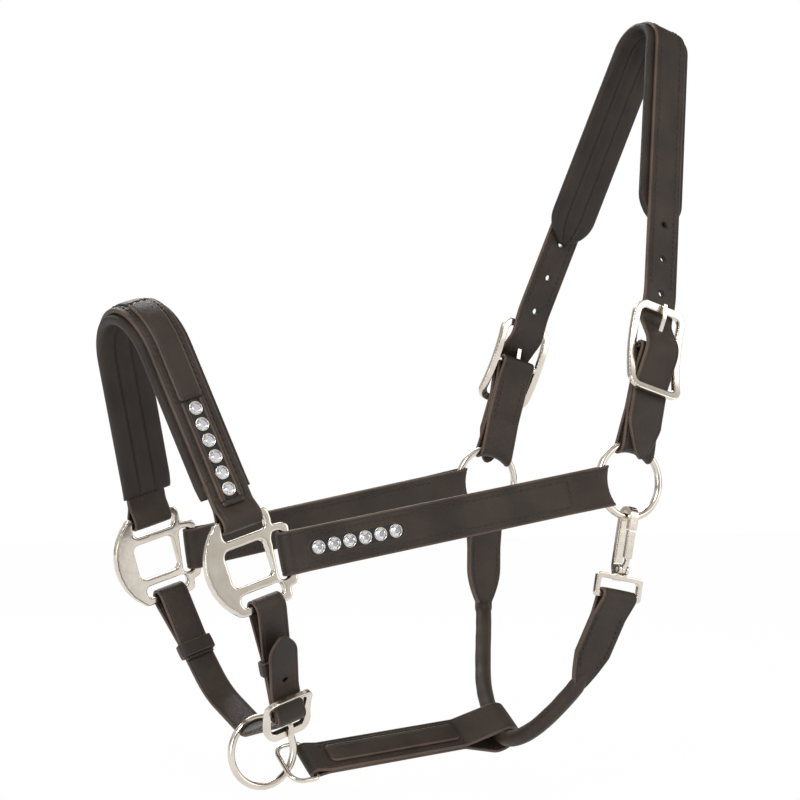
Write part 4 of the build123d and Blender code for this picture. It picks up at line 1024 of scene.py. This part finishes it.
class HEADCOLLAR_OT_crown(Operator):
    """Crown: long strap with two pointed billets, padded lining, chapes, holes and stitching"""

    bl_idname = "headcollar.crown"
    bl_label = "Crown"

    def execute(self, context):
        width = half_strap()
        way, bend, corner, radius = crown_way()
        total = way.at[-1]
        ends = np.minimum(way.at, total - way.at)
        share = np.clip(ends / 22.0, 0, 1) ** 0.62 * 0.94 + 0.06
        strap = strap_object("crown_leather", way, *strap_profile(width, CROWN_T / 2), share=share)
        dress(strap, strap_leather(), "strap_leather", ROOT, "crown_strap")
        rows = both_faces(way, 120, total - 120, CROWN_T / 2 + 0.05, width - STITCH_INSET)
        stitch_rows("crown_stitches", rows)
        self.lining(bend, corner, radius)
        self.holes(strap, way, total)
        self.chapes(width)
        return {"FINISHED"}

    def lining(self, bend, corner, radius):
        """Padded lining under the arch of the crown, from one side's end height to the other's."""
        cosine, sine = turn(CROWN_LEAN)
        near = (bend[0] + sine / cosine * (LINING_END - bend[1]), LINING_END)
        line, at = even(trail([near, (0, corner), (-near[0], near[1])], [radius]), 1.6)
        flat = Sheetway(RINGS_MIDDLE, Y, UP_HEAD, ACROSS_HEAD, line, at)
        shape = Sheetway(flat.origin, flat.u, flat.v, flat.w, line - flat.normal * CROWN_T / 2, at)
        ends = np.minimum(at, at[-1] - at)
        share = blunt_point(ends, 22.0)
        thin = 0.3 + 0.7 * np.clip(ends / 8, 0, 1) ** 0.5
        pad = strap_object("crown_lining", shape, *pad_profile(17.0, 5.6), share=share, thin=thin)
        dress(pad, lining_leather(), "padding_leather", ROOT, "crown_padding")
        rows = [flip_row(row_along(shape, 10, at[-1] - 10, -3.4, side)) for side in (-5.6, 5.6)]
        stitch_rows("crown_lining_stitches", rows)

    def holes(self, strap, way, total):
        """Adjusting holes of both billets, with black rims on both faces as painted hole shade."""
        at = np.array([115.0, 140.0, 165.0])
        at = np.concatenate([at, total - at])
        place, ahead, out = way.points_at(at, 0.0, 0.0)
        punch(strap, place, way.w, ahead, out, 2.1)
        for face, sign in (("outer", 1), ("inner", -1)):
            surface = place + out * sign * CROWN_T / 2
            hole_shade_rims(f"crown_hole_rims_{face}", surface, way.w, ahead, out * sign, 2.1)

    def chapes(self, width):
        """The two short folded straps between the side rings and the crown buckles."""
        line, at = belt(CHAPE_LENGTH, RING_BORE, BAR_BORE, LAYER, 22, 14)
        for side, name in ((1, "near"), (-1, "far")):
            turned = np.ones(3) if side > 0 else MIRROR
            start = RINGS_MIDDLE + Y * CHAPE_START[0] + UP_HEAD * CHAPE_START[1]
            up = Y * CHAPE_SIN + UP_HEAD * CHAPE_COS
            out = -Y * CHAPE_COS + UP_HEAD * CHAPE_SIN
            way = Sheetway(start * turned, up * turned, out * turned, ACROSS_HEAD * turned,
                           line, at, closed=True)
            sags = ((0.0, 1, RING_R, 18.0),)
            chape = strap_object(f"{name}_chape", way, *strap_profile(width, LAYER / 2 + 0.05), sags=sags)
            dress(chape, strap_leather(), "strap_leather", ROOT, f"{name}_crown_chape")
            flat = way.straight(CHAPE_LENGTH)
            rows = both_faces(flat, 20, CHAPE_LENGTH - 12, LAYER + 0.05, width - STITCH_INSET)
            stitch_rows(f"{name}_chape_stitches", rows)


# ------------------------------------------------------------------ chin
CHIN_T = 2.3
CHIN_LAYER = 1.7
CHIN_BAR = (-53.0, -93.0)
CHIN_WIDTH = 19.0


LOOP_BORE = 10.4
LOOP_CLOSING = 30
FAR_CORNER = (39.0, -88.0)


def heading(start, end):
    """Direction from one place to another."""
    return unit(np.asarray(end, float) - np.asarray(start, float))


HANGER_DOWN = heading(LOW_BAR, CHIN_BAR)
HANGER_OUT = np.array([HANGER_DOWN[1], -HANGER_DOWN[0]])
LOOP_DROP = LOOP_BORE / 2 - SQUARE_BORE / 2
FAR_LOW_BAR = np.array([-LOW_BAR[0], LOW_BAR[1]])


class HEADCOLLAR_OT_chin(Operator):
    """Chin: hanger with the buckle, long pointed strap with its wide loop, and two keepers"""

    bl_idname = "headcollar.chin"
    bl_label = "Chin straps"

    def execute(self, context):
        half_width = CHIN_WIDTH / 2
        self.hanger(half_width)
        self.strap(half_width)
        self.keepers(half_width)
        return {"FINISHED"}

    def hanger(self, half_width):
        """Folded strap from the near square's low bar to the chin buckle."""
        length = math.dist(LOW_BAR, CHIN_BAR) - LOOP_DROP
        line, at = belt(length, LOOP_BORE, BAR_BORE, CHIN_LAYER, LOOP_CLOSING, 8, 0.8)
        start = np.array(LOW_BAR) + HANGER_DOWN * LOOP_DROP
        way = Sheetway(nose_place(start), nose_direction(HANGER_DOWN), nose_direction(HANGER_OUT),
                       ACROSS_NOSE, line, at, closed=True)
        section = strap_profile(half_width, CHIN_LAYER / 2 + 0.05, crease=1.9)
        piece = strap_object("chin_hanger_leather", way, *section)
        dress(piece, strap_leather(), "strap_leather", ROOT, "chin_hanger")
        flat = way.straight(length)
        rows = both_faces(flat, LOOP_CLOSING, length - 7, CHIN_LAYER + 0.05, half_width - 3.4, 3.4)
        stitch_rows("chin_hanger_stitches", rows, length=2.5, thick=0.36)

    def strap(self, half_width):
        """Pointed strap through the chin buckle, under the jaw and round the far square's low bar."""
        tip, on_chape, on_bar, _ = stack(31.0, 4.2, 3.0, CHIN_LAYER, CHIN_T)
        rim_edge = (31.0 / 2 - 4.2) * math.cos(tip)
        local = [(-52.0, on_chape + 9.5), (-rim_edge - 6.7, on_chape), (-rim_edge + 1.4, on_chape),
                 (2.6, on_bar + 1.8)]
        near = [tuple(np.array(CHIN_BAR) + HANGER_DOWN * s + HANGER_OUT * h) for s, h in local]
        down = heading(FAR_LOW_BAR, FAR_CORNER)
        side = np.array([-down[1], down[0]])
        reach = LOOP_CLOSING + LOOP_DROP
        centre = FAR_LOW_BAR + down * LOOP_DROP
        radius, angle = fold_arc(LOOP_BORE, CHIN_T, LOOP_CLOSING, CHIN_T / 2)
        loop = arc((0, 0), radius, angle, 2 * math.pi - angle)
        loop = np.concatenate([loop, [[LOOP_CLOSING, -CHIN_T / 2], [LOOP_CLOSING + 12, -CHIN_T / 2]]])
        loop = centre + loop[:, 0:1] * down + loop[:, 1:2] * side
        top = FAR_LOW_BAR + down * reach + side * CHIN_T / 2
        run = trail(near + [(0.0, -110.0), FAR_CORNER, tuple(top)], [15, 4, 5.6, 16, 40])
        line, at = even(np.concatenate([run, loop]), 0.9)
        line = soften(line)
        way = Sheetway(NOSE_ORIGIN, Y, UP_NOSE, ACROSS_NOSE, line, at)
        share = blunt_point(at, 13.0)
        section = strap_profile(half_width, CHIN_T / 2, crease=1.9)
        piece = strap_object("chin_strap_leather", way, *section, share=share)
        dress(piece, strap_leather(), "strap_leather", ROOT, "chin_strap")
        place, ahead, out = way.points_at(np.array([30.0]), 0.0, 0.0)
        punch(piece, place, way.w, ahead, out, 1.7)
        # Black rim round the hole: painted shade of the hole.
        hole_shade_rims("chin_strap_hole_shade_rim", place + out * CHIN_T / 2, way.w, ahead, out, 1.7)
        rows = []
        lift, end = CHIN_T / 2 + 0.05, at[-1]
        for edge in (3.4 - half_width, half_width - 3.4):
            rows.append(row_along(way, end - 28, end - 3, lift, edge, 3.4))
            rows.append(flip_row(row_along(way, end - 100, end - 74, -lift, edge, 3.4)))
        stitch_rows("chin_strap_stitches", rows, length=2.5, thick=0.36)

    def keepers(self, half_width):
        """Sliding bands round the two layers, below the wide loops on the squares."""
        distance = LOOP_CLOSING + LOOP_DROP + 4.5 + 1
        for name, bar, towards, thick in (("near_chin_keeper", np.array(LOW_BAR), CHIN_BAR, 2 * CHIN_LAYER),
                                          ("far_chin_keeper", FAR_LOW_BAR, FAR_CORNER, 2 * CHIN_T)):
            down = heading(bar, towards)
            side = np.array([-down[1], down[0]])
            centre = bar + down * distance
            half_high, half_wide = thick / 2 + 0.35 + 0.75, half_width + 0.35 + 0.75
            corners = [(half_wide, 0), (half_wide, half_high), (-half_wide, half_high),
                       (-half_wide, -half_high), (half_wide, -half_high), (half_wide, 0)]
            line, at = even(trail(corners, [1.2] * 4), 0.5, closed=True)
            way = Sheetway(nose_place(centre), ACROSS_NOSE, nose_direction(side), nose_direction(down),
                           line, at, closed=True)
            band = strap_object(f"{name}_leather", way, *strap_profile(4.5, 0.78, groove=0.14, crease=1.1))
            dress(band, strap_leather(), "strap_leather", name, name)


# ------------------------------------------------------------------ throat and gullet
NEAR_HANG = turn(10.7)
FAR_HANG = turn(2.0)
RING_HANG = 24.0
STRAP_LEAN = 41.0
THROAT_LOW = np.array([(-34.7, -31.0, -157.0), (-41.0, -7.0, -167.0), (-40.5, 8.5, -159.5),
                       (-33.0, 35.0, -139.0), (-20.5, 55.5, -119.0), (-9.5, 71.5, -97.0)])


def hang_place(hang, back, place):
    """Point of a plane across the head that comes forward going down."""
    cosine, sine = hang
    return RINGS_MIDDLE + X * back + Y * place[0] + np.array([sine, 0, cosine]) * place[1]


NEAR_EYE = hang_place(NEAR_HANG, 2.5, (-84.6, -73.0))
NEAR_END = hang_place(NEAR_HANG, 2.5, (-62.5, -121.6))
FAR_TOP = hang_place(FAR_HANG, 0, (HALF_RING_SPAN + SIDE_SIN * RING_R, -RING_R * SIDE_COS))
FAR_END = hang_place(FAR_HANG, 0, (82.6, -77.0))


def tube(name, line, radius, sides=40, ripple=0.0):
    """Round leather over a core: a circle carried along the line, with a low seam and faint ripples."""
    direction = tangents(line)
    side = np.cross(direction, np.broadcast_to(X, direction.shape))
    side /= np.linalg.norm(side, axis=1)[:, None]
    other = np.cross(direction, side)
    angle = np.linspace(0, 2 * math.pi, sides, endpoint=False)
    along = np.concatenate([[0], np.cumsum(np.linalg.norm(np.diff(line, axis=0), axis=1))])
    seam = -0.45 * np.exp(-((np.mod(angle - 0.6 + math.pi, 2 * math.pi) - math.pi) / 0.12) ** 2)
    distance = along[:, None]
    wave = ripple * np.sin(distance / 2.3 + 2 * np.sin(distance / 17)) * (0.5 + 0.5 * np.cos(angle - 2.2))
    ends = np.clip(np.minimum(along, along[-1] - along) / 17, 0, 1)
    taper = 0.36 + 0.64 * ends ** 2 * (3 - 2 * ends)
    r = ((radius + seam[None] + wave) * taper[:, None])[..., None]
    cosine, sine = np.cos(angle)[None, :, None], np.sin(angle)[None, :, None]
    rings = line[:, None] + r * (cosine * side[:, None] + sine * other[:, None])
    around = np.linspace(0, 2 * math.pi * radius, sides + 1)
    return sweep_surface(name, rings, along, around, np.zeros(sides), False)


def end_width(distance, length, pointed):
    """Share of full width: a round-shouldered point, or a taper to the roll's width."""
    if pointed:
        return 0.10 + 0.90 * np.clip((length + 11 - distance) / 24, 0, 1) ** 0.6
    return 0.40 + 0.60 * np.sin(np.clip((length + 6 - distance) / 24, 0, 1) * math.pi / 2) ** 0.9


def chape_section(start, end, bore, closing, name, nodes, hang, sag=None, pointed=False):
    """Flat end of the throat strap: a folded loop whose width narrows to the roll."""
    length = float(np.linalg.norm(end - start))
    along = (end - start) / length
    cosine, sine = hang
    across = np.array([cosine, 0, -sine])
    out = np.cross(across, along)
    half_width = half_strap()
    line, at = belt(length + 10, bore, 1.0, LAYER * 0.8 if pointed else LAYER, closing, 6)
    way = Sheetway(start, along, out, across, line, at, closed=True)
    narrow = np.clip((length + 6 - line[:, 0]) / 24, 0, 1)
    share = end_width(line[:, 0], length, pointed)
    bulge = (1 - narrow) ** 2 * (line[:, 1] > 0) if pointed else (1 - narrow) ** 2
    thin = 1.0 + 0.75 * bulge
    sags = ((0.0, 1, RING_R, 18.0),) if sag else ()
    section = strap_profile(half_width, LAYER / 2 + 0.05)
    piece = strap_object(name, way, *section, share=share, thin=thin, sags=sags)
    dress(piece, strap_leather(), "strap_leather", ROOT, *nodes)
    flat = way.straight(length)
    rows = []
    for y in (-1, 1):
        for face in (-1, 1):
            at = np.arange(closing - 2, length - 2, 3.6)
            inset = y * np.maximum(end_width(at, length, pointed) * half_width - 3.6, 0.4)
            place, ahead, away = flat.points_at(at, face * (LAYER + 0.1), inset)
            rows.append((place, ahead, away if face > 0 else -away))
    stitch_rows(f"{name}_stitches", rows, length=2.6, thick=0.38)


class HEADCOLLAR_OT_throat(Operator):
    """Throat: rolled leather with a flat folded end on each side"""

    bl_idname = "headcollar.throat"
    bl_label = "Rolled throat"

    def execute(self, context):
        leaving = unit(NEAR_END - NEAR_EYE)
        arriving = unit(FAR_END - FAR_TOP)
        points = np.concatenate([[NEAR_END - leaving * 5, NEAR_END + leaving * 9], RINGS_MIDDLE + THROAT_LOW,
                                 [FAR_END + arriving * 9, FAR_END - arriving * 5]])
        for _ in range(5):
            before, after = points[:-1], points[1:]
            cut = np.stack([0.75 * before + 0.25 * after, 0.25 * before + 0.75 * after], 1)
            points = np.concatenate([points[:1], cut.reshape(-1, 3), points[-1:]])
        line, _ = even(points, 1.1)
        roll = tube("throat_roll_leather", line, look().roll_diameter * MM / 2, ripple=0.09)
        dress(roll, roll_leather(), "rolled_leather", ROOT, "throat_roll")
        eye_bore = math.hypot(3.2, 3.2) + 0.9
        chape_section(NEAR_EYE, NEAR_END, eye_bore, 14, "near_throat_end", ("near_throat_chape",), NEAR_HANG,
                      pointed=True)
        chape_section(FAR_TOP, FAR_END, RING_BORE, 22, "far_throat_end", ("far_throat_chape",), FAR_HANG,
                      sag=True)
        return {"FINISHED"}


class HEADCOLLAR_OT_gullet(Operator):
    """Gullet strap: two layers from the dee to the roll, with a raised strip and stitching"""

    bl_idname = "headcollar.gullet"
    bl_label = "Gullet strap"

    def execute(self, context):
        cosine, sine = turn(RING_HANG)
        contact = CHIN_RING + np.array([cosine, 0, -sine]) * CHIN_RING_R
        end = RINGS_MIDDLE + THROAT_LOW[2]
        back = unit(end - contact)
        cosine, sine = turn(STRAP_LEAN)
        level = np.array([0, -cosine, -sine])
        across = unit(level - back * (level @ back))
        bar = contact + back * (18.0 - 1.5 - WIRE / 2 - 1.4)
        length = float(np.linalg.norm(end - bar))
        out = np.cross(across, back)
        line, at = belt(length, 3.9, 19.2, LAYER, 10, 30, 0.9)
        way = Sheetway(bar, back, out, across, line, at, closed=True)
        half_width = 11.5
        piece = strap_object("gullet_leather", way, *strap_profile(half_width, LAYER / 2 + 0.05, crease=2.0))
        dress(piece, strap_leather(), "strap_leather", ROOT, "gullet_strap")
        strip_line, strip_at = even(np.array([[13.0, 0.0], [length - 33.0, 0.0]]), 1.5)
        strip = Sheetway(bar, back, out, across, strip_line, strip_at)
        ends = np.minimum(strip_at, strip_at[-1] - strip_at)
        share = 0.72 + 0.28 * np.clip(ends / 3.0, 0, 1) ** 0.5
        y, h, burnish_and_sheen = strap_profile(half_width * 0.58, 1.15, crease=1.4, groove=0.2, crown=0.2)
        cover = strap_object("gullet_strip", strip, y, h + LAYER + 0.75, burnish_and_sheen, share=share)
        dress(cover, strap_leather(), "strap_leather", ROOT, "gullet_overlay")
        rows = both_faces(way.straight(length), 9, length - 31, LAYER + 0.08, half_width - 3.2, 3.7)
        stitch_rows("gullet_stitches", rows, length=2.8, thick=0.4)
        return {"FINISHED"}


# ------------------------------------------------------------------ fittings
def rounded_copy(node, name, rounding, body=ROOT, voxel=0.4):
    """Stands for a CAD node as a casting: same shape in small even faces, its edges worn round."""
    mesh = frame["nodes"][node].data.copy()
    mesh.name = name
    shape = bmesh.new()
    shape.from_mesh(mesh)
    bmesh.ops.remove_doubles(shape, verts=shape.verts, dist=1e-6)
    shape.to_mesh(mesh)
    shape.free()
    mesh.materials.clear()
    item = bpy.data.objects.new(name, mesh)
    bpy.context.scene.collection.objects.link(item)
    even_faces = item.modifiers.new("even faces", "REMESH")
    even_faces.mode = "VOXEL"
    even_faces.voxel_size = voxel / MM
    even_faces.use_smooth_shade = True
    wear = item.modifiers.new("wear", "SMOOTH")
    wear.factor = 0.5
    wear.iterations = int(2 * (0.55 * rounding / voxel) ** 2) + 2
    return dress(item, nickel(), "metal", body, node)


def ring_object(name, node, centre, normal, radius, body):
    """Torus with an even wire: two angles give every point."""
    normal = unit(normal)
    side = unit(np.cross(normal, UP_HEAD))
    other = np.cross(normal, side)
    a = np.linspace(0, 2 * math.pi, 144, endpoint=False)[:, None]
    b = np.linspace(0, 2 * math.pi, 28, endpoint=False)[None]
    wire = WIRE / 2 - 0.02
    reach = radius + wire * np.cos(b)
    points = (centre + (reach * np.cos(a))[..., None] * side + (reach * np.sin(a))[..., None] * other
              + (wire * np.sin(b) + 0 * a)[..., None] * normal)
    around = np.linspace(0, 2 * math.pi * wire, 29)
    along = np.linspace(0, 2 * math.pi * radius, 145)
    item = sweep_surface(name, points, along, around, np.zeros(28), True)
    return dress(item, nickel(), "metal", body, node)


class HEADCOLLAR_OT_fittings(Operator):
    """Fittings: squares, rings, buckles, tongues, dee and snap hook in polished nickel"""

    bl_idname = "headcollar.fittings"
    bl_label = "Metal fittings"

    def execute(self, context):
        for side, turned in (("near", np.ones(3)), ("far", MIRROR)):
            ring = f"{side}_side_ring"
            ring_object(f"{side}_ring_wire", ring, NEAR_RING * turned, SIDE_OUT * turned, RING_R, ring)
            rounded_copy(f"{side}_square", f"{side}_square_casting", 2.7)
            rounded_copy(f"{side}_crown_buckle", f"{side}_crown_buckle_casting", 1.4)
            tongue = f"{side}_crown_tongue"
            rounded_copy(tongue, f"{tongue}_wire", 0.6, body=tongue, voxel=0.25)
        ring_object("chin_ring_wire", "chin_ring", CHIN_RING, -Y, CHIN_RING_R, "chin_ring")
        rounded_copy("chin_buckle", "chin_buckle_casting", 1.2)
        rounded_copy("chin_tongue", "chin_tongue_wire", 0.5, body="chin_tongue", voxel=0.25)
        rounded_copy("chin_dee", "chin_dee_wire", 0.1, voxel=0.25)
        rounded_copy("snap_hook", "snap_hook_casting", 0.7, voxel=0.28)
        rounded_copy("snap_gate", "snap_gate_blade", 0.6, body="snap_gate", voxel=0.28)
        rounded_copy("snap_gate_pin", "snap_gate_rivet", 0.2, voxel=0.2)
        return {"FINISHED"}


# ------------------------------------------------------------------ stage
class HEADCOLLAR_OT_stage(Operator):
    """Stage: pale floor, soft studio lamps, white surround and the camera"""

    bl_idname = "headcollar.stage"
    bl_label = "Stage"

    def execute(self, context):
        scene = context.scene
        scene.view_settings.view_transform = "Standard"
        self.floor(scene)
        self.surround(scene)
        self.lamps(scene)
        self.camera(scene)
        return {"FINISHED"}

    def floor(self, scene):
        """White floor just under the part: camera and mirror rays see it evenly lit."""
        low = CAD_BOX[0][2] - 0.012
        mesh = bpy.data.meshes.new("floor")
        reach = 6.0
        corners = [(-reach, -reach, low), (reach, -reach, low), (reach, reach, low), (-reach, reach, low)]
        mesh.from_pydata(corners, [], [(0, 1, 2, 3)])
        item = bpy.data.objects.new("floor", mesh)
        scene.collection.objects.link(item)
        material, tree, shader = nodes_of("pale_floor")
        shader.inputs["Base Color"].default_value = (0.9, 0.9, 0.9, 1)
        shader.inputs["Roughness"].default_value = 0.9
        white = add(tree, "ShaderNodeEmission")
        white.inputs["Strength"].default_value = 1.0
        seen = add(tree, "ShaderNodeLightPath")
        share = add(tree, "ShaderNodeMath", operation="MAXIMUM")
        tree.links.new(seen.outputs["Is Camera Ray"], share.inputs[0])
        tree.links.new(seen.outputs["Is Glossy Ray"], share.inputs[1])
        part = add(tree, "ShaderNodeMath", operation="MULTIPLY")
        part.inputs[1].default_value = 0.975
        tree.links.new(share.outputs[0], part.inputs[0])
        mix = add(tree, "ShaderNodeMixShader")
        tree.links.new(part.outputs[0], mix.inputs["Fac"])
        tree.links.new(shader.outputs[0], mix.inputs[1])
        tree.links.new(white.outputs[0], mix.inputs[2])
        tree.links.new(mix.outputs[0], tree.nodes["Material Output"].inputs["Surface"])
        mesh.materials.append(material)

    def surround(self, scene):
        """White room for the camera, and warm dark patches for the metal to mirror."""
        world = bpy.data.worlds.new("white_room")
        scene.world = world
        world.use_nodes = True
        tree = world.node_tree
        plain = tree.nodes["Background"]
        way = add(tree, "ShaderNodeTexCoord").outputs["Generated"]
        patches = add(tree, "ShaderNodeTexNoise")
        patches.inputs["Scale"].default_value = 2.2
        patches.inputs["Detail"].default_value = 1.0
        room = add(tree, "ShaderNodeValToRGB")
        room.color_ramp.elements[0].position, room.color_ramp.elements[0].color = 0.40, (0.10, 0.072, 0.05, 1)
        room.color_ramp.elements[1].position, room.color_ramp.elements[1].color = 0.52, (1.0, 0.985, 0.96, 1)
        tree.links.new(way, patches.inputs["Vector"])
        tree.links.new(patches.outputs["Fac"], room.inputs["Fac"])
        tree.links.new(room.outputs["Color"], plain.inputs["Color"])
        plain.inputs["Strength"].default_value = look().room_light
        white = add(tree, "ShaderNodeBackground")
        white.inputs["Color"].default_value = (1, 1, 1, 1)
        seen = add(tree, "ShaderNodeLightPath")
        share = add(tree, "ShaderNodeMath", operation="MAXIMUM")
        tree.links.new(seen.outputs["Is Camera Ray"], share.inputs[0])
        tree.links.new(seen.outputs["Is Transmission Ray"], share.inputs[1])
        mix = add(tree, "ShaderNodeMixShader")
        tree.links.new(share.outputs[0], mix.inputs["Fac"])
        tree.links.new(plain.outputs[0], mix.inputs[1])
        tree.links.new(white.outputs[0], mix.inputs[2])
        tree.links.new(mix.outputs[0], tree.nodes["World Output"].inputs["Surface"])

    def lamps(self, scene):
        """Four soft lamps, all aimed at the middle of the part."""
        target = np.array([-0.2, 0.0, -0.25])
        for name, offset, size, power in (("key", (-1.1, -1.6, 1.5), 0.9, 26.0),
                                          ("fill", (1.5, -1.3, 0.5), 1.2, 6.0),
                                          ("back", (0.4, 1.6, 1.4), 1.0, 16.0),
                                          ("low", (-1.2, -0.9, -0.1), 0.8, 6.0)):
            lamp = bpy.data.lights.new(name, "AREA")
            lamp.energy = power * look().lamp_level
            lamp.size = size
            item = bpy.data.objects.new(name, lamp)
            item.location = target + np.array(offset)
            aim_at(item, target)
            scene.collection.objects.link(item)

    def camera(self, scene):
        """Camera in front of the near side, a little below the part's middle."""
        forward, across = turn(-30.0)
        level, rise = turn(-2.5)
        back = np.array([across * level, -forward * level, rise])
        target = np.array([-0.2009, 0.0, -0.2514])
        data = bpy.data.cameras.new("camera")
        data.angle = math.radians(21.98)
        item = bpy.data.objects.new("camera", data)
        item.location = target + back * 1.3
        aim_at(item, target)
        scene.collection.objects.link(item)
        scene.camera = item


def aim_at(item, target):
    """Turns a lamp or a camera to look at a place."""
    aim = Vector(target) - item.location
    item.rotation_euler = aim.to_track_quat("-Z", "Y").to_euler()


# ------------------------------------------------------------------ settings and panel
class HeadcollarSettings(PropertyGroup):
    """Sizes, colours and light that can be changed before the pieces are built"""

    strap_width: FloatProperty(name="Strap width", description="Width of the crown, cheek and nose straps",
                               default=0.0254, min=0.015, max=0.04, unit="LENGTH")
    roll_diameter: FloatProperty(name="Roll diameter", description="Thickness of the rolled throat strap",
                                 default=0.0106, min=0.006, max=0.016, unit="LENGTH")
    stone_count: IntProperty(name="Stones in a slot", description="Stones in each of the four slots",
                             default=6, min=1, max=12)
    stone_pitch: FloatProperty(name="Stone spacing", description="Distance between stones",
                               default=0.010, unit="LENGTH")
    nose_stone_start: FloatProperty(name="First nose stone",
                                    description="Its distance from the square's top bar",
                                    default=0.018, unit="LENGTH")
    cheek_stone_start: FloatProperty(name="First cheek stone",
                                     description="Its distance from the square's side bar",
                                     default=0.018, unit="LENGTH")
    leather_colour: FloatVectorProperty(name="Leather", description="Colour of the straps", subtype="COLOR",
                                        default=(0.027, 0.0178, 0.0122), min=0, max=1)
    lining_colour: FloatVectorProperty(name="Lining", description="Colour of the padded linings",
                                       subtype="COLOR", default=(0.023, 0.0155, 0.011), min=0, max=1)
    roll_colour: FloatVectorProperty(name="Roll", description="Colour of the rolled throat strap",
                                     subtype="COLOR", default=(0.034, 0.022, 0.0152), min=0, max=1)
    # Edges: lighter colour of the rounded strap edges, partly burnished leather and partly a painted
    # highlight.
    edge_burnish_and_sheen_colour: FloatVectorProperty(name="Edges", description="Colour of the burnished edges",
                                     subtype="COLOR", default=(0.11, 0.073, 0.054), min=0, max=1)
    leather_roughness: FloatProperty(name="Leather roughness", description="How matt the straps are",
                                     default=0.42, min=0.1, max=0.9, subtype="FACTOR")
    room_light: FloatProperty(name="Room light", description="Brightness of the white room",
                              default=0.75, min=0, max=3)
    lamp_level: FloatProperty(name="Lamp level", description="Brightness of all lamps",
                              default=1.0, min=0, max=4)


OPERATORS = (HEADCOLLAR_OT_noseband, HEADCOLLAR_OT_cheeks, HEADCOLLAR_OT_stones, HEADCOLLAR_OT_crown,
             HEADCOLLAR_OT_chin, HEADCOLLAR_OT_throat, HEADCOLLAR_OT_gullet, HEADCOLLAR_OT_fittings,
             HEADCOLLAR_OT_stage)


class HEADCOLLAR_PT_panel(Panel):
    """Sidebar panel with the settings and one button for each operator"""

    bl_label = "Headcollar"
    bl_idname = "HEADCOLLAR_PT_panel"
    bl_space_type = "VIEW_3D"
    bl_region_type = "UI"
    bl_category = "Headcollar"

    def draw(self, context):
        layout = self.layout
        for name in HeadcollarSettings.__annotations__:
            layout.prop(context.scene.headcollar, name)
        for operator in OPERATORS:
            layout.operator(operator.bl_idname)


CLASSES = (HeadcollarSettings, *OPERATORS, HEADCOLLAR_PT_panel)


def register():
    """Makes the settings, the operators and the panel known."""
    for item in CLASSES:
        bpy.utils.register_class(item)
    bpy.types.Scene.headcollar = PointerProperty(type=HeadcollarSettings)


def unregister():
    """Takes them away again, in the opposite order."""
    del bpy.types.Scene.headcollar
    for item in reversed(CLASSES):
        bpy.utils.unregister_class(item)


def main():
    """Builds everything in order."""
    register()
    bpy.ops.headcollar.noseband()
    bpy.ops.headcollar.cheeks()
    bpy.ops.headcollar.stones()
    bpy.ops.headcollar.crown()
    bpy.ops.headcollar.chin()
    bpy.ops.headcollar.throat()
    bpy.ops.headcollar.gullet()
    bpy.ops.headcollar.fittings()
    bpy.ops.headcollar.stage()


if __name__ == "__main__":
    main()
